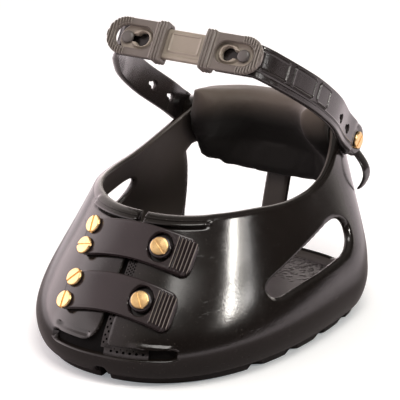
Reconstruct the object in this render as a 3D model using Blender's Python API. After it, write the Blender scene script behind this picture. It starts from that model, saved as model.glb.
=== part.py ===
"""A hoof boot for a horse: one moulded shell with its sole, two toe straps hooked on buttons,
a pastern loop with two sliding lock rings, a soft heel cuff and the brass screws that hold them.
Metres, +Z up, toe towards -Y, standing on its sole with the origin under the middle of the foot."""
import math
import bpy
import bmesh
import numpy as np
from mathutils import Matrix, Vector

# Shell: the shape of the foot
BASE_HALF_WIDTH = 0.0663
TOE_REACH = 0.0785
HEEL_REACH = 0.0950
RIM_HEIGHT = 0.0650
WALL = 0.0038
FLOOR = 0.0090
WING_RISE = 0.0125
WING_HEIGHT = RIM_HEIGHT + WING_RISE
# Each row: height, half width, toe, heel, widest place, heel squareness, as shares of the sizes above
SECTION_SHARES = np.array([
    (0.000, 0.890, 0.911, 0.695, 0.358, 2.5), (0.077, 0.965, 0.978, 0.768, 0.358, 2.5),
    (0.200, 1.000, 1.000, 0.832, 0.347, 2.6), (0.323, 0.983, 0.968, 0.874, 0.337, 2.7),
    (0.462, 0.938, 0.879, 0.905, 0.332, 2.8), (0.738, 0.811, 0.675, 0.968, 0.311, 2.9),
    (1.000, 0.697, 0.503, 1.000, 0.295, 3.0), (1.308, 0.588, 0.306, 1.021, 0.284, 3.0),
    (1.500, 0.530, 0.200, 1.030, 0.284, 3.0)])
TOE_POWER_SHARE = 2.3
TOE_WALL_SHARE = 1.3
LEVEL_SHARES = (0.0, 0.03, 0.08, 0.14, 0.2, 0.26, 0.32, 0.38, 0.45, 0.54, 0.68, 0.8, 0.928, 0.940, 0.954,
                0.966, 0.995, 1.01, 1.1, 1.2, 1.3, 1.4)
RING_POINTS = 64
OVERRUN = 0.0100
FIT_GAP = 0.0003

# Shell: the raised collar along the front of the rim, and the groove under it
COLLAR_HALF_LENGTH = 0.0280
COLLAR_PROUD = 0.0014
COLLAR_GROOVE = 0.0010
COLLAR_SHARES = ((0.928, 0.0), (0.940, -1.0), (0.954, -1.0), (0.966, 1.0), (0.995, 1.0), (1.01, 0.0))

# Shell: the rim seen from the side, as shares of heel reach and rim height
RIM_SIDE_SHARES = ((-0.90, 1.0), (-0.42, 1.0), (-0.29, 1.0), (-0.13, 0.990), (0.0, 0.970), (0.12, 0.955),
                   (0.29, 0.950), (0.40, 0.964), (0.48, 0.987), (0.56, 1.022), (0.64, 1.068), (0.73, 1.126))
WING_START_SHARE = 0.795

# Shell: openings
WINDOW_FRONT = -0.0240
WINDOW_REAR = 0.0455
WINDOW_LOW_SHARE = 0.446
WINDOW_HIGH_SHARE = 0.712
WINDOW_LOW = RIM_HEIGHT * WINDOW_LOW_SHARE
WINDOW_HIGH = RIM_HEIGHT * WINDOW_HIGH_SHARE
WINDOW_SHARES = ((0.0, 0.20), (0.035, 0.40), (0.18, 0.57), (0.43, 0.79), (0.65, 0.93), (0.81, 1.0),
                 (0.93, 0.93), (1.0, 0.70), (0.98, 0.40), (0.91, 0.21), (0.82, 0.13), (0.55, 0.09),
                 (0.25, 0.05), (0.05, 0.0))
REAR_OPENING_HALF = 0.0440
REAR_OPENING_DROP = 0.0235
REAR_OPENING_HIGH = WING_HEIGHT - REAR_OPENING_DROP
REAR_OPENING_START = 0.0560
REAR_OPENING_LIP = 0.0030
BACK_STRIP_HALF = 0.0065
CORNER_RADIUS = 0.0060
TOE_SLOT_WIDTH = 0.0030
TOE_SLOT_HALF_LENGTH = 0.0340
TOE_SLOT_LOW = 0.0140
TOE_SLOT_HIGH = 0.0172
TOE_SLOT_REACH = 0.0350
TOE_FLARE_RADIUS = 0.0080

# Sole: grooves between the tread lugs
TREAD_DEPTH = 0.0045
TREAD_WIDTH = 0.0085
TREAD_INNER = 0.0200
TREAD_PITCH = 0.0210
TREAD_ROWS = 5
TREAD_FIRST = -0.0420
TREAD_SLANT = math.radians(14)
CHANNEL_WIDTH = 0.0050
CHANNEL_START = 0.0330

# Toe straps
STRAP_WIDTH = 0.0134
STRAP_THICKNESS = 0.0025
STRAP_LEFT = 0.0245
STRAP_RIGHT = 0.0278
STRAP_SAG = 0.0045
STRAP_CORNER = 0.0040
HINGE_PLACE = -0.0080
UPPER_STRAP_SHARE = 0.845
LOWER_STRAP_SHARE = 0.554
UPPER_STRAP_HEIGHT = RIM_HEIGHT * UPPER_STRAP_SHARE
LOWER_STRAP_HEIGHT = RIM_HEIGHT * LOWER_STRAP_SHARE
STRAP_SCREW_PLACE = 0.0207
STRAP_SCREW_SPACING = 0.0080
BUTTON_PLACE = 0.0133
RIB_START = 0.0184
RIB_PITCH = 0.0014
RIB_COUNT = 6
RIB_HEIGHT = 0.0005

# Brass screws, their collars and the nuts inside the boot
HEAD_RADIUS = 0.0041
HEAD_HEIGHT = 0.0013
HEAD_CROWN = 0.0004
SLOT_WIDTH = 0.0009
SLOT_DEPTH = 0.0006
SHANK_RADIUS = 0.0018
BARREL_RADIUS = 0.0029
FLANGE_RADIUS = 0.0048
FLANGE_HEIGHT = 0.0010
COLLAR_RADIUS = 0.0053
BUTTON_CLEARANCE = 0.0009
SEAT_GAP = 0.0004

# Pastern loop
PIVOT_FROM_BACK = 0.0180
PIVOT_DROP = 0.0080
PIVOT_Y = HEEL_REACH - PIVOT_FROM_BACK
PIVOT_Z = WING_HEIGHT - PIVOT_DROP
PIVOT_PROUD = 0.0046
PIVOT_PAD_RADIUS = 0.0072
PIVOT_PAD_LENGTH = 0.0100
LOOP_TILT = math.radians(36.2)
LOOP_REACH = 0.1050
LOOP_SHIFT = 0.0035
LOOP_HALF_WIDTH = 0.0490
BAND_WIDTH = 0.0150
BAND_THICKNESS = 0.0024
BAND_LIP = 0.0006
BAND_LIP_WIDTH = 0.0032
BAND_END = 0.0075
SIDE_SHARES = ((0.930, 0.19), (1.0, 0.38), (1.0, 0.52), (0.965, 0.64), (0.895, 0.745), (0.825, 0.83),
               (0.757, 0.907), (0.690, 0.957))
BAND_END_SHARES = (0.3, 0.55, 0.75, 0.88, 0.96, 1.0)
STRAIGHT_HALF = 0.0318
TIP_HALF = 0.0150
CENTRE_HALF = 0.0325
CENTRE_THICKNESS = 0.0024
BOSS_START = 0.0166
BOSS_END = 0.0256
BOSS_HALF_WIDTH = 0.0042
BOSS_HEIGHT = 0.0012
KEYHOLE_ROUND = 0.0211
KEYHOLE_RADIUS = 0.0031
KEYHOLE_SLOT_HALF = 0.0015
STUD_PLACE = 0.0285
STUD_NECK = 0.0012
STUD_HEAD_RADIUS = 0.0029
STUD_HEAD_HEIGHT = 0.0014
STRAP_HOLE_FIRST = 0.0170
STRAP_HOLE_SPACING = 0.0160
STRAP_HOLE_RADIUS = 0.0016
TAIL_LENGTH = 0.0185
TAIL_BULGE = 0.0028
TAIL_FLARE = 0.0066
TAIL_WIDTH = 0.0060
TAIL_THICKNESS = 0.0014

# Lock rings
RING_INNER = 0.0095
RING_OUTER = 0.0380
RING_HALF_WIDTH = 0.0086
RING_THICKNESS = 0.0030
RING_HOLE_START = 0.0155
RING_HOLE_END = 0.0338
RING_HOLE_HALF = 0.0050
KEEPER_LENGTH = 0.0045
KEEPER_SIDE = 0.0016
KEEPER_RIB_COUNT = 5
KEEPER_RIB_HEIGHT = 0.0004

# Soft heel cuff
CUFF_RISE = 0.0085
CUFF_HEIGHT = 0.0420
CUFF_ROLL_HEIGHT = 0.0220
CUFF_TOP = WING_HEIGHT + CUFF_RISE
CUFF_LOW = CUFF_TOP - CUFF_HEIGHT
CUFF_ROLL_LOW = CUFF_TOP - CUFF_ROLL_HEIGHT
CUFF_LOWER_THICKNESS = 0.0045
CUFF_ROLL_THICKNESS = 0.0115
CUFF_TURN = math.radians(62)
CUFF_STEPS = 28
CUFF_DIP_SHARE = 0.55
CUFF_STEP_RISE = 0.0030
CUFF_STEP_START_SHARE = 0.7
# Each row: height and how far round the cuff reaches there, as shares of its height and its turn
CUFF_SIDE_SHARES = ((0.0, 0.54), (0.08, 0.60), (0.29, 0.75), (0.43, 0.85), (0.67, 0.96), (1.0, 1.0))

COLOURS = {
    "shell": ((0.016, 0.013, 0.013, 1), 0.30, 0.0),
    "strap": ((0.045, 0.036, 0.038, 1), 0.42, 0.0),
    "loop": ((0.030, 0.026, 0.026, 1), 0.30, 0.0),
    "centre": ((0.120, 0.100, 0.085, 1), 0.38, 0.0),
    "ring": ((0.095, 0.082, 0.074, 1), 0.55, 0.0),
    "brass": ((0.700, 0.430, 0.170, 1), 0.28, 1.0),
    "steel": ((0.450, 0.440, 0.420, 1), 0.35, 1.0),
    "cuff": ((0.055, 0.043, 0.036, 1), 0.70, 0.0)}


# Small tools

def material(key):
    """Return the Principled material of one kind of piece, made once."""
    found = bpy.data.materials.get(key)
    if found:
        return found
    colour, roughness, metallic = COLOURS[key]
    made = bpy.data.materials.new(key)
    made.use_nodes = True
    shader = made.node_tree.nodes["Principled BSDF"]
    shader.inputs["Base Color"].default_value = colour
    shader.inputs["Roughness"].default_value = roughness
    shader.inputs["Metallic"].default_value = metallic
    return made


def add_object(name, mesh, key, parent=None, matrix=None, smooth_angle=35):
    """Link a mesh as a named object with its material and smooth shading."""
    made = bpy.data.objects.new(name, mesh)
    bpy.context.collection.objects.link(made)
    mesh.materials.append(material(key))
    mesh.shade_smooth()
    mesh.set_sharp_from_angle(angle=math.radians(smooth_angle))
    if parent:
        made.parent = parent
    if matrix:
        made.matrix_local = matrix
    return made


def mesh_from(name, points, faces):
    """Make a mesh from points and faces, with its faces turned outward."""
    mesh = bpy.data.meshes.new(name)
    mesh.from_pydata([tuple(point) for point in points], [], faces)
    work = bmesh.new()
    work.from_mesh(mesh)
    bmesh.ops.recalc_face_normals(work, faces=work.faces)
    work.to_mesh(mesh)
    work.free()
    return mesh


def loft(name, rings):
    """Close a stack of equal rings of points into one solid with flat end caps."""
    count = len(rings[0])
    points = [point for ring in rings for point in ring]
    faces = []
    for level in range(len(rings) - 1):
        for k in range(count):
            a, b = level * count + k, level * count + (k + 1) % count
            faces.append((a, b, b + count, a + count))
    faces.append(tuple(reversed(range(count))))
    faces.append(tuple(range((len(rings) - 1) * count, len(rings) * count)))
    return mesh_from(name, points, faces)


def prism(name, outline, low, high, axis):
    """Extrude a closed outline along one world axis, from low to high."""
    orders = {"x": (2, 0, 1), "y": (0, 2, 1), "z": (0, 1, 2)}[axis]

    def place(point, along):
        values = (point[0], point[1], along)
        return tuple(values[k] for k in orders)
    return loft(name, [[place(point, along) for point in outline] for along in (low, high)])


def lathe(name, profile, steps=16):
    """Turn a closed profile of radius and height pairs about Z, first and last point on the axis."""
    rings = profile[1:-1]
    angles = [2 * math.pi * k / steps for k in range(steps)]
    points = [(0, 0, profile[0][1])]
    points += [(r * math.cos(a), r * math.sin(a), z) for r, z in rings for a in angles]
    points.append((0, 0, profile[-1][1]))
    last = len(points) - 1
    faces = [(0, 1 + (k + 1) % steps, 1 + k) for k in range(steps)]
    for level in range(len(rings) - 1):
        start = 1 + level * steps
        faces += [(start + k, start + (k + 1) % steps, start + steps + (k + 1) % steps, start + steps + k)
                  for k in range(steps)]
    start = 1 + (len(rings) - 1) * steps
    faces += [(start + k, start + (k + 1) % steps, last) for k in range(steps)]
    return mesh_from(name, points, faces)


def cutter(target, mesh, operation="DIFFERENCE", matrix=None, parent=None):
    """Hide a mesh and use it on the target in a Boolean."""
    made = bpy.data.objects.new("cutter_" + mesh.name, mesh)
    bpy.context.collection.objects.link(made)
    made.hide_render = True
    made.display_type = "WIRE"
    if parent:
        made.parent = parent
    if matrix:
        made.matrix_local = matrix
    step = target.modifiers.new(mesh.name, "BOOLEAN")
    step.operation = operation
    step.object = made
    return made


def rounded(corners, radius, steps=4):
    """Round the corners of an outline with arcs of about the given radius."""
    corners = [np.array(corner, float) for corner in corners]
    out = []
    for k, corner in enumerate(corners):
        before, after = corners[k - 1] - corner, corners[(k + 1) % len(corners)] - corner
        start = corner + before / np.linalg.norm(before) * radius
        end = corner + after / np.linalg.norm(after) * radius
        for step in range(steps + 1):
            t = step / steps
            out.append(tuple((1 - t) ** 2 * start + 2 * t * (1 - t) * corner + t ** 2 * end))
    return out


def smooth_path(points, steps, closed=False):
    """Pass a Catmull-Rom curve through the points and read it at even steps between them."""
    points = [np.array(point, float) for point in points]
    count = len(points)
    spans = count if closed else count - 1
    out = []
    for k in range(spans):
        if closed:
            a, b, c, d = (points[(k + j - 1) % count] for j in range(4))
        else:
            b, c = points[k], points[k + 1]
            a = points[k - 1] if k else 2 * b - c
            d = points[k + 2] if k + 2 < count else 2 * c - b
        for step in range(steps):
            t = step / steps
            out.append(((2 * b) + (c - a) * t + (2 * a - 5 * b + 4 * c - d) * t * t
                        + (3 * b - a - 3 * c + d) * t ** 3) / 2)
    if not closed:
        out.append(points[-1])
    return out


# The shape of the foot

def section(height):
    """Return half width, toe, heel, widest place and heel power of the outer outline at a height."""
    rows = SECTION_SHARES
    share = height / RIM_HEIGHT
    k = int(np.clip(np.searchsorted(rows[:, 0], share) - 1, 0, len(rows) - 2))
    span = rows[k + 1, 0] - rows[k, 0]
    t = (share - rows[k, 0]) / span
    slopes = [(rows[min(j + 1, len(rows) - 1)] - rows[max(j - 1, 0)])
              / (rows[min(j + 1, len(rows) - 1), 0] - rows[max(j - 1, 0), 0]) for j in (k, k + 1)]
    row = ((1 + 2 * t) * (1 - t) ** 2 * rows[k] + t * (1 - t) ** 2 * span * slopes[0]
           + t * t * (3 - 2 * t) * rows[k + 1] + t * t * (t - 1) * span * slopes[1])
    return (row[1] * BASE_HALF_WIDTH, -row[2] * TOE_REACH, row[3] * HEEL_REACH, row[4] * HEEL_REACH, row[5])


def foot_point(angle, height, inset=0.0):
    """Return the point of the outline at a height, the angle measured from the toe."""
    half, toe, heel, wide, power = section(height)
    side, front = math.sin(angle), math.cos(angle)
    if front > 0:
        power, reach = TOE_POWER_SHARE, toe + inset * TOE_WALL_SHARE - wide
    else:
        reach = heel - inset - wide
    x = (half - inset) * math.copysign(abs(side) ** (2 / power), side)
    return (x, wide + reach * abs(front) ** (2 / power), height)


def collar_offset(x, y, height):
    """Return how far the collar or its groove moves the wall outward at a place."""
    shares, sizes = zip(*COLLAR_SHARES)
    size = float(np.interp(height / RIM_HEIGHT, shares, sizes, left=0, right=0))
    if y > 0 or abs(x) > COLLAR_HALF_LENGTH:
        return 0.0
    return size * (COLLAR_PROUD if size > 0 else COLLAR_GROOVE)


def foot_ring(height, inset=0.0, collar=False):
    """Return one full outline at a height, with the collar if asked."""
    ring = []
    for k in range(RING_POINTS):
        x, y, z = foot_point(2 * math.pi * k / RING_POINTS, height, inset)
        push = collar_offset(x, y, height) if collar else 0.0
        length = math.hypot(x, y)
        ring.append((x * (1 + push / length), y * (1 + push / length), z))
    return ring


def front_wall(x, height):
    """Return the outer wall point in front at a place across and a height."""
    half, toe, _, wide, _ = section(height)
    rise = (1 - (abs(x) / half) ** TOE_POWER_SHARE) ** (1 / TOE_POWER_SHARE)
    return Vector((x, wide + (toe - wide) * rise, height))


def front_normal(x, height):
    """Return the outward direction of the front wall."""
    probe = WALL / 20
    across = front_wall(x + probe, height) - front_wall(x - probe, height)
    upward = front_wall(x, height + probe) - front_wall(x, height - probe)
    return across.cross(upward).normalized()


def side_wall(y, height):
    """Return half the width of the outer outline behind its widest place."""
    half, _, heel, wide, power = section(height)
    return half * (1 - ((y - wide) / (heel - wide)) ** power) ** (1 / power)


def pivot_half():
    """Return how far from the middle the flat outer faces of the pivot pads lie."""
    return side_wall(PIVOT_Y, PIVOT_Z) + PIVOT_PROUD


def pad_inner():
    """Return how far from the middle the inner faces of the pivot pads lie."""
    return pivot_half() - PIVOT_PAD_LENGTH


def hollow_depth(start, direction):
    """Return how far inward from a wall point the hollow begins, along a direction."""
    def solid(depth):
        point = start - direction * depth
        half, toe, _, wide, _ = section(point.z)
        across = abs(point.x) / (half - WALL)
        along = (wide - point.y) / (wide - toe - WALL * TOE_WALL_SHARE)
        return across ** TOE_POWER_SHARE + along ** TOE_POWER_SHARE > 1
    low, high = 0.0, 3 * WALL
    for _ in range(30):
        middle = (low + high) / 2
        low, high = (middle, high) if solid(middle) else (low, middle)
    return high


def nut_seat(frame):
    """Return how deep a nut's flange sits, so that its whole rim clears the inner face."""
    outward = frame.to_3x3() @ Vector((0, 0, 1))
    rim = [frame @ Vector((FLANGE_RADIUS * math.cos(a), FLANGE_RADIUS * math.sin(a), 0))
           for a in (k * math.pi / 4 for k in range(8))]
    return -max(hollow_depth(start, outward) for start in rim + [frame.translation]) - FIT_GAP


def wall_frame(x, height):
    """Return a matrix standing on the front wall, its Z pointing outward and its Y up the wall."""
    outward = front_normal(x, height)
    up = (Vector((0, 0, 1)) - outward * outward.z).normalized()
    turned = Matrix((up.cross(outward), up, outward)).transposed().to_4x4()
    return Matrix.Translation(front_wall(x, height)) @ turned


# Shell

def rim_cutter():
    """Make the block above the rim line, seen from the side."""
    line = [(y * HEEL_REACH, z * RIM_HEIGHT) for y, z in RIM_SIDE_SHARES]
    curve = [tuple(point) for point in smooth_path(line, 3)]
    curve += [(WING_START_SHARE * HEEL_REACH, WING_HEIGHT), (HEEL_REACH + OVERRUN, WING_HEIGHT)]
    top = LEVEL_SHARES[-1] * RIM_HEIGHT + 2 * OVERRUN
    outline = curve + [(HEEL_REACH + OVERRUN, top), (curve[0][0], top)]
    reach = BASE_HALF_WIDTH + OVERRUN
    return prism("above_rim", outline, -reach, reach, "x")


def window_outline():
    """Return the closed side window outline as y and z pairs."""
    length, height = WINDOW_REAR - WINDOW_FRONT, WINDOW_HIGH - WINDOW_LOW
    corners = [(WINDOW_FRONT + a * length, WINDOW_LOW + b * height) for a, b in WINDOW_SHARES]
    return [tuple(point) for point in smooth_path(corners, 3, closed=True)]


def rear_opening_outline(side):
    """Return the rear opening outline beside the back strip as x and z pairs."""
    low = FLOOR + REAR_OPENING_LIP
    corners = [(BACK_STRIP_HALF, low), (REAR_OPENING_HALF, low),
               (REAR_OPENING_HALF, REAR_OPENING_HIGH), (BACK_STRIP_HALF, REAR_OPENING_HIGH)]
    return [(side * x, z) for x, z in rounded(corners, CORNER_RADIUS)]


def toe_slot_outline():
    """Return the upside-down T of the toe slots as x and z pairs, with flared lower corners."""
    half, flare = TOE_SLOT_WIDTH / 2, TOE_FLARE_RADIUS
    arc = [math.pi / 2 * k / 4 for k in range(5)]
    right = [(half + flare * (1 - math.cos(a)), TOE_SLOT_HIGH + flare * (1 - math.sin(a))) for a in arc]
    top = RIM_HEIGHT + OVERRUN
    end = TOE_SLOT_HALF_LENGTH
    side = [(half, top)] + right + [(end, TOE_SLOT_HIGH), (end, TOE_SLOT_LOW)]
    return side + [(-x, z) for x, z in reversed(side)]


def groove_outline(width):
    """Return a groove's section, narrower at its top, as pairs across and up."""
    half = width / 2
    return [(-half, -TREAD_DEPTH), (half, -TREAD_DEPTH), (half, 0), (half / 2, TREAD_DEPTH),
            (-half / 2, TREAD_DEPTH), (-half, 0)]


def tread_grooves(shell):
    """Cut the slanted grooves between the lugs and the channel along the middle of the sole."""
    for side in (-1, 1):
        for row in range(TREAD_ROWS):
            mesh = prism(f"tread_{side}_{row}", groove_outline(TREAD_WIDTH), 0, BASE_HALF_WIDTH, "x")
            turn = Matrix.Rotation(side * TREAD_SLANT + (math.pi if side < 0 else 0), 4, "Z")
            place = Matrix.Translation((side * TREAD_INNER, TREAD_FIRST + row * TREAD_PITCH, 0))
            cutter(shell, mesh, matrix=place @ turn)
    outline = groove_outline(CHANNEL_WIDTH)
    cutter(shell, prism("toe_channel", outline, -TOE_REACH - OVERRUN, -CHANNEL_START, "y"))
    cutter(shell, prism("heel_channel", outline, CHANNEL_START, HEEL_REACH + OVERRUN, "y"))


def add_pivot_pads(shell):
    """Unite the two flat pads that carry the pivots, and clear the room for their nuts."""
    inner, outer = pad_inner(), pivot_half()
    pad = [(0, inner), (PIVOT_PAD_RADIUS, inner), (PIVOT_PAD_RADIUS, outer), (0, outer)]
    flat = FLANGE_RADIUS + SEAT_GAP
    room = [(0, inner - OVERRUN), (flat, inner - OVERRUN), (flat, inner), (0, inner)]
    for side in (-1, 1):
        cutter(shell, lathe(f"pivot_pad_{side}", pad, 24), "UNION", pivot_frame(side))
        cutter(shell, lathe(f"pivot_room_{side}", room), matrix=pivot_frame(side))


def cut_openings(shell):
    """Cut the side windows, the rear openings, the toe slots and every screw hole."""
    reach, back = BASE_HALF_WIDTH + OVERRUN, HEEL_REACH + OVERRUN
    drill = BARREL_RADIUS + FIT_GAP
    cutter(shell, prism("windows", window_outline(), -reach, reach, "x"))
    for side in (-1, 1):
        cutter(shell, prism(f"rear_{side}", rear_opening_outline(side), REAR_OPENING_START, back, "y"))
        place = pivot_frame(side) @ Matrix.Translation((0, 0, pivot_half()))
        cutter(shell, lathe(f"pivot_hole_{side}", hole_profile(drill)), matrix=place)
    front = -TOE_REACH - OVERRUN
    cutter(shell, prism("toe_slots", toe_slot_outline(), front, -TOE_SLOT_REACH, "y"))
    for name, x, height in strap_screw_places() + button_places():
        cutter(shell, lathe("hole_" + name, hole_profile(drill)), matrix=wall_frame(x, height))


def make_shell():
    """Make the moulded boot: wall, floor, tread, rim, windows, rear openings and toe slots."""
    rings = [foot_ring(share * RIM_HEIGHT, collar=True) for share in LEVEL_SHARES]
    shell = add_object("boot_shell", loft("boot_shell", rings), "shell")
    inner = [FLOOR] + [share * RIM_HEIGHT for share in LEVEL_SHARES if share * RIM_HEIGHT > FLOOR + WALL / 2]
    hollow = [foot_ring(height, WALL) for height in inner]
    hollow.append([(x, y, z + OVERRUN) for x, y, z in hollow[-1]])
    cutter(shell, loft("hollow", hollow))
    add_pivot_pads(shell)
    cutter(shell, rim_cutter())
    cut_openings(shell)
    tread_grooves(shell)
    return shell


def hole_profile(radius):
    """Return the profile of a drill that passes a wall both ways."""
    return [(0, -OVERRUN), (radius, -OVERRUN), (radius, OVERRUN), (0, OVERRUN)]


# Toe straps

def strap_middle(height, x):
    """Return the height of a toe strap's middle line at a place across."""
    return height - STRAP_SAG * (x / STRAP_LEFT) ** 2


def strap_half(x, left, right, round_left, round_right):
    """Return the strap's half height at a place, smaller where an end is rounded."""
    half = STRAP_WIDTH / 2
    for distance, on in ((x - left, round_left), (right - x, round_right)):
        if on and distance < STRAP_CORNER:
            half -= STRAP_CORNER - math.sqrt(max(STRAP_CORNER ** 2 - (STRAP_CORNER - distance) ** 2, 0))
    return half


def strap_stations(left, right):
    """Return the places across where a toe strap is shaped, close together at its round ends."""
    ends = [0.0, 0.15, 0.4, 0.7, 1.0]
    inner = list(np.linspace(left + STRAP_CORNER, right - STRAP_CORNER, 9)[1:-1])
    return sorted([left + STRAP_CORNER * e for e in ends] + inner + [right - STRAP_CORNER * e for e in ends])


def rib_rise(x):
    """Return how far the gripping ribs stand up at a place across."""
    turn = (x - RIB_START) / RIB_PITCH
    if turn < 0 or turn > RIB_COUNT:
        return 0.0
    return RIB_HEIGHT * (1 - abs(2 * (turn % 1) - 1))


def strap_mesh(name, height, left, right, round_left, round_right, origin):
    """Make a strap that lies on the curved front wall, as one closed solid about its origin."""
    stations = strap_stations(left, right)
    if right > RIB_START:
        ribs = [RIB_START + RIB_PITCH * k / 2 for k in range(2 * RIB_COUNT + 1)]
        before, after = RIB_START - RIB_PITCH, ribs[-1] + RIB_PITCH / 2
        stations = sorted([x for x in stations if x < before or x > after] + ribs)
    rows = [-1.0, -0.75, 0.0, 0.75, 1.0]
    rings = []
    for x in stations:
        half = strap_half(x, left, right, round_left, round_right)
        places = [(x, strap_middle(height, x) + row * half, row) for row in rows]
        under = [front_wall(x, z) + front_normal(x, z) * FIT_GAP for x, z, _ in places]
        over = []
        for x, z, row in places:
            rise = rib_rise(x) if abs(row) < 1 else 0.0
            over.append(front_wall(x, z) + front_normal(x, z) * (FIT_GAP + STRAP_THICKNESS + rise))
        rings.append([point - origin for point in under + over[::-1]])
    return loft(name, rings)


def make_toe_strap(name, height):
    """Make one toe strap: the part held by two screws and the flap that hooks on the button."""
    drill = hole_profile(SHANK_RADIUS + FIT_GAP)
    fold = HINGE_PLACE - FIT_GAP / 2
    mesh = strap_mesh(name + "_anchor", height, -STRAP_LEFT, fold, True, False, Vector())
    base = add_object(name + "_anchor", mesh, "strap")
    for place in screw_pair(height):
        cutter(base, lathe(name + "_hole", drill), matrix=wall_frame(*place))
    hinge = hinge_point(height)
    mesh = strap_mesh(name + "_flap", height, HINGE_PLACE + FIT_GAP / 2, STRAP_RIGHT, False, True, hinge)
    flap = add_object(name + "_flap", mesh, "strap", matrix=Matrix.Translation(hinge))
    button = (BUTTON_PLACE, strap_middle(height, BUTTON_PLACE))
    radius = COLLAR_RADIUS + BUTTON_CLEARANCE
    cutter(flap, lathe(name + "_button_hole", hole_profile(radius), 24), matrix=wall_frame(*button))


def hinge_point(height):
    """Return the middle of the flap's fold line, on the strap's outer face."""
    z = strap_middle(height, HINGE_PLACE)
    return front_wall(HINGE_PLACE, z) + front_normal(HINGE_PLACE, z) * (FIT_GAP + STRAP_THICKNESS)


def screw_pair(height):
    """Return the places of the two screws at a strap's fixed end."""
    middle = strap_middle(height, STRAP_SCREW_PLACE)
    lean = STRAP_SCREW_SPACING / 16
    return [(-STRAP_SCREW_PLACE + lean, middle + STRAP_SCREW_SPACING / 2),
            (-STRAP_SCREW_PLACE - lean, middle - STRAP_SCREW_SPACING / 2)]


def strap_screw_places():
    """List the four fixed screws: name, place across and height."""
    out = []
    for strap, height in (("upper", UPPER_STRAP_HEIGHT), ("lower", LOWER_STRAP_HEIGHT)):
        for which, place in zip(("top", "bottom"), screw_pair(height)):
            out.append((f"{strap}_strap_{which}", *place))
    return out


def button_places():
    """List the two buttons: name, place across and height."""
    return [(f"{strap}_button", BUTTON_PLACE, strap_middle(height, BUTTON_PLACE))
            for strap, height in (("upper", UPPER_STRAP_HEIGHT), ("lower", LOWER_STRAP_HEIGHT))]


# Screws and nuts

def head_profile(seat, reach):
    """Return a slotted screw's profile: shank from reach up to the seat, then the head."""
    top = seat + HEAD_HEIGHT
    return [(0, reach), (SHANK_RADIUS, reach), (SHANK_RADIUS, seat), (HEAD_RADIUS, seat),
            (HEAD_RADIUS, top - HEAD_CROWN), (HEAD_RADIUS - HEAD_CROWN, top), (0, top)]


def add_screw(name, frame, seat, reach, turn, parent=None):
    """Make a brass screw with a slot across its head."""
    mesh = lathe(name, head_profile(seat, reach))
    screw = add_object(name, mesh, "brass", parent, frame)
    half, top = SLOT_WIDTH / 2, seat + HEAD_HEIGHT
    outline = [(-half, top - SLOT_DEPTH), (half, top - SLOT_DEPTH), (half, top + SLOT_DEPTH),
               (-half, top + SLOT_DEPTH)]
    reach_across = HEAD_RADIUS + SLOT_DEPTH
    slot = prism(name + "_slot", outline, -reach_across, reach_across, "y")
    cutter(screw, slot, matrix=frame @ Matrix.Rotation(turn, 4, "Z"), parent=parent)
    return screw


def add_nut(name, frame, inner, outer, reach, parent=None):
    """Make a tee nut: a flange on the inner face and a barrel in the wall, bored for the shank."""
    profile = [(SHANK_RADIUS + FIT_GAP, inner - FLANGE_HEIGHT), (FLANGE_RADIUS, inner - FLANGE_HEIGHT),
               (FLANGE_RADIUS, inner), (BARREL_RADIUS, inner), (BARREL_RADIUS, outer),
               (SHANK_RADIUS + FIT_GAP, outer)]
    return add_object(name, tube_lathe(name, profile), "steel", parent, frame)


def tube_lathe(name, profile, steps=16):
    """Turn a closed profile that never touches the axis, as a ring-shaped body."""
    angles = [2 * math.pi * k / steps for k in range(steps)]
    points = [(r * math.cos(a), r * math.sin(a), z) for a in angles for r, z in profile]
    count = len(profile)
    faces = []
    for k in range(steps):
        a, b = k * count, ((k + 1) % steps) * count
        faces += [(a + j, a + (j + 1) % count, b + (j + 1) % count, b + j) for j in range(count)]
    return mesh_from(name, points, faces)


def make_toe_fasteners():
    """Make the four fixed screws, the two button screws with their collars, and all six nuts."""
    over_strap = FIT_GAP + STRAP_THICKNESS + SEAT_GAP
    turns = (0.4, -0.7, -0.5, 0.1)
    for turn, (name, x, height) in zip(turns, strap_screw_places()):
        frame = wall_frame(x, height)
        inner = nut_seat(frame)
        add_screw(name + "_screw", frame, over_strap, inner - FLANGE_HEIGHT, turn)
        add_nut(name + "_nut", frame, inner, -FIT_GAP, inner)
    for turn, (name, x, height) in zip((0.9, 0.2), button_places()):
        frame = wall_frame(x, height)
        inner = nut_seat(frame)
        add_screw(name + "_screw", frame, over_strap + FIT_GAP, inner - FLANGE_HEIGHT, turn)
        add_nut(name + "_nut", frame, inner, -FIT_GAP, inner)
        bore, neck = SHANK_RADIUS + FIT_GAP, COLLAR_RADIUS - HEAD_CROWN
        profile = [(bore, FIT_GAP), (neck, FIT_GAP), (COLLAR_RADIUS, FIT_GAP + HEAD_CROWN),
                   (COLLAR_RADIUS, over_strap - HEAD_CROWN), (neck, over_strap), (bore, over_strap)]
        add_object(name + "_collar", tube_lathe(name + "_collar", profile), "strap", matrix=frame)


# Pastern loop: its own frame has X across, -Y forward and Z along the straps' width

def pivot_frame(side):
    """Return the world frame of a pivot, its Z pointing out of the boot along X."""
    outward = Matrix.Rotation(side * math.pi / 2, 4, "Y")
    return Matrix.Translation((0, PIVOT_Y, PIVOT_Z)) @ outward


def loop_axis():
    """Make the empty on the pivots' axis that carries the whole pastern loop."""
    axis = bpy.data.objects.new("pastern_loop_axis", None)
    bpy.context.collection.objects.link(axis)
    axis.location = (0, PIVOT_Y, PIVOT_Z)
    axis.rotation_euler = (-LOOP_TILT, 0, 0)
    return axis


def loop_front(axis):
    """Make the empty that carries the centre strap, its studs and the lock rings, a little to one side."""
    front = bpy.data.objects.new("pastern_loop_front", None)
    bpy.context.collection.objects.link(front)
    front.parent = axis
    front.location = (LOOP_SHIFT, 0, 0)
    return front


def front_face():
    """Return how far forward the centre strap's inner face lies."""
    return LOOP_REACH - CENTRE_THICKNESS


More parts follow.
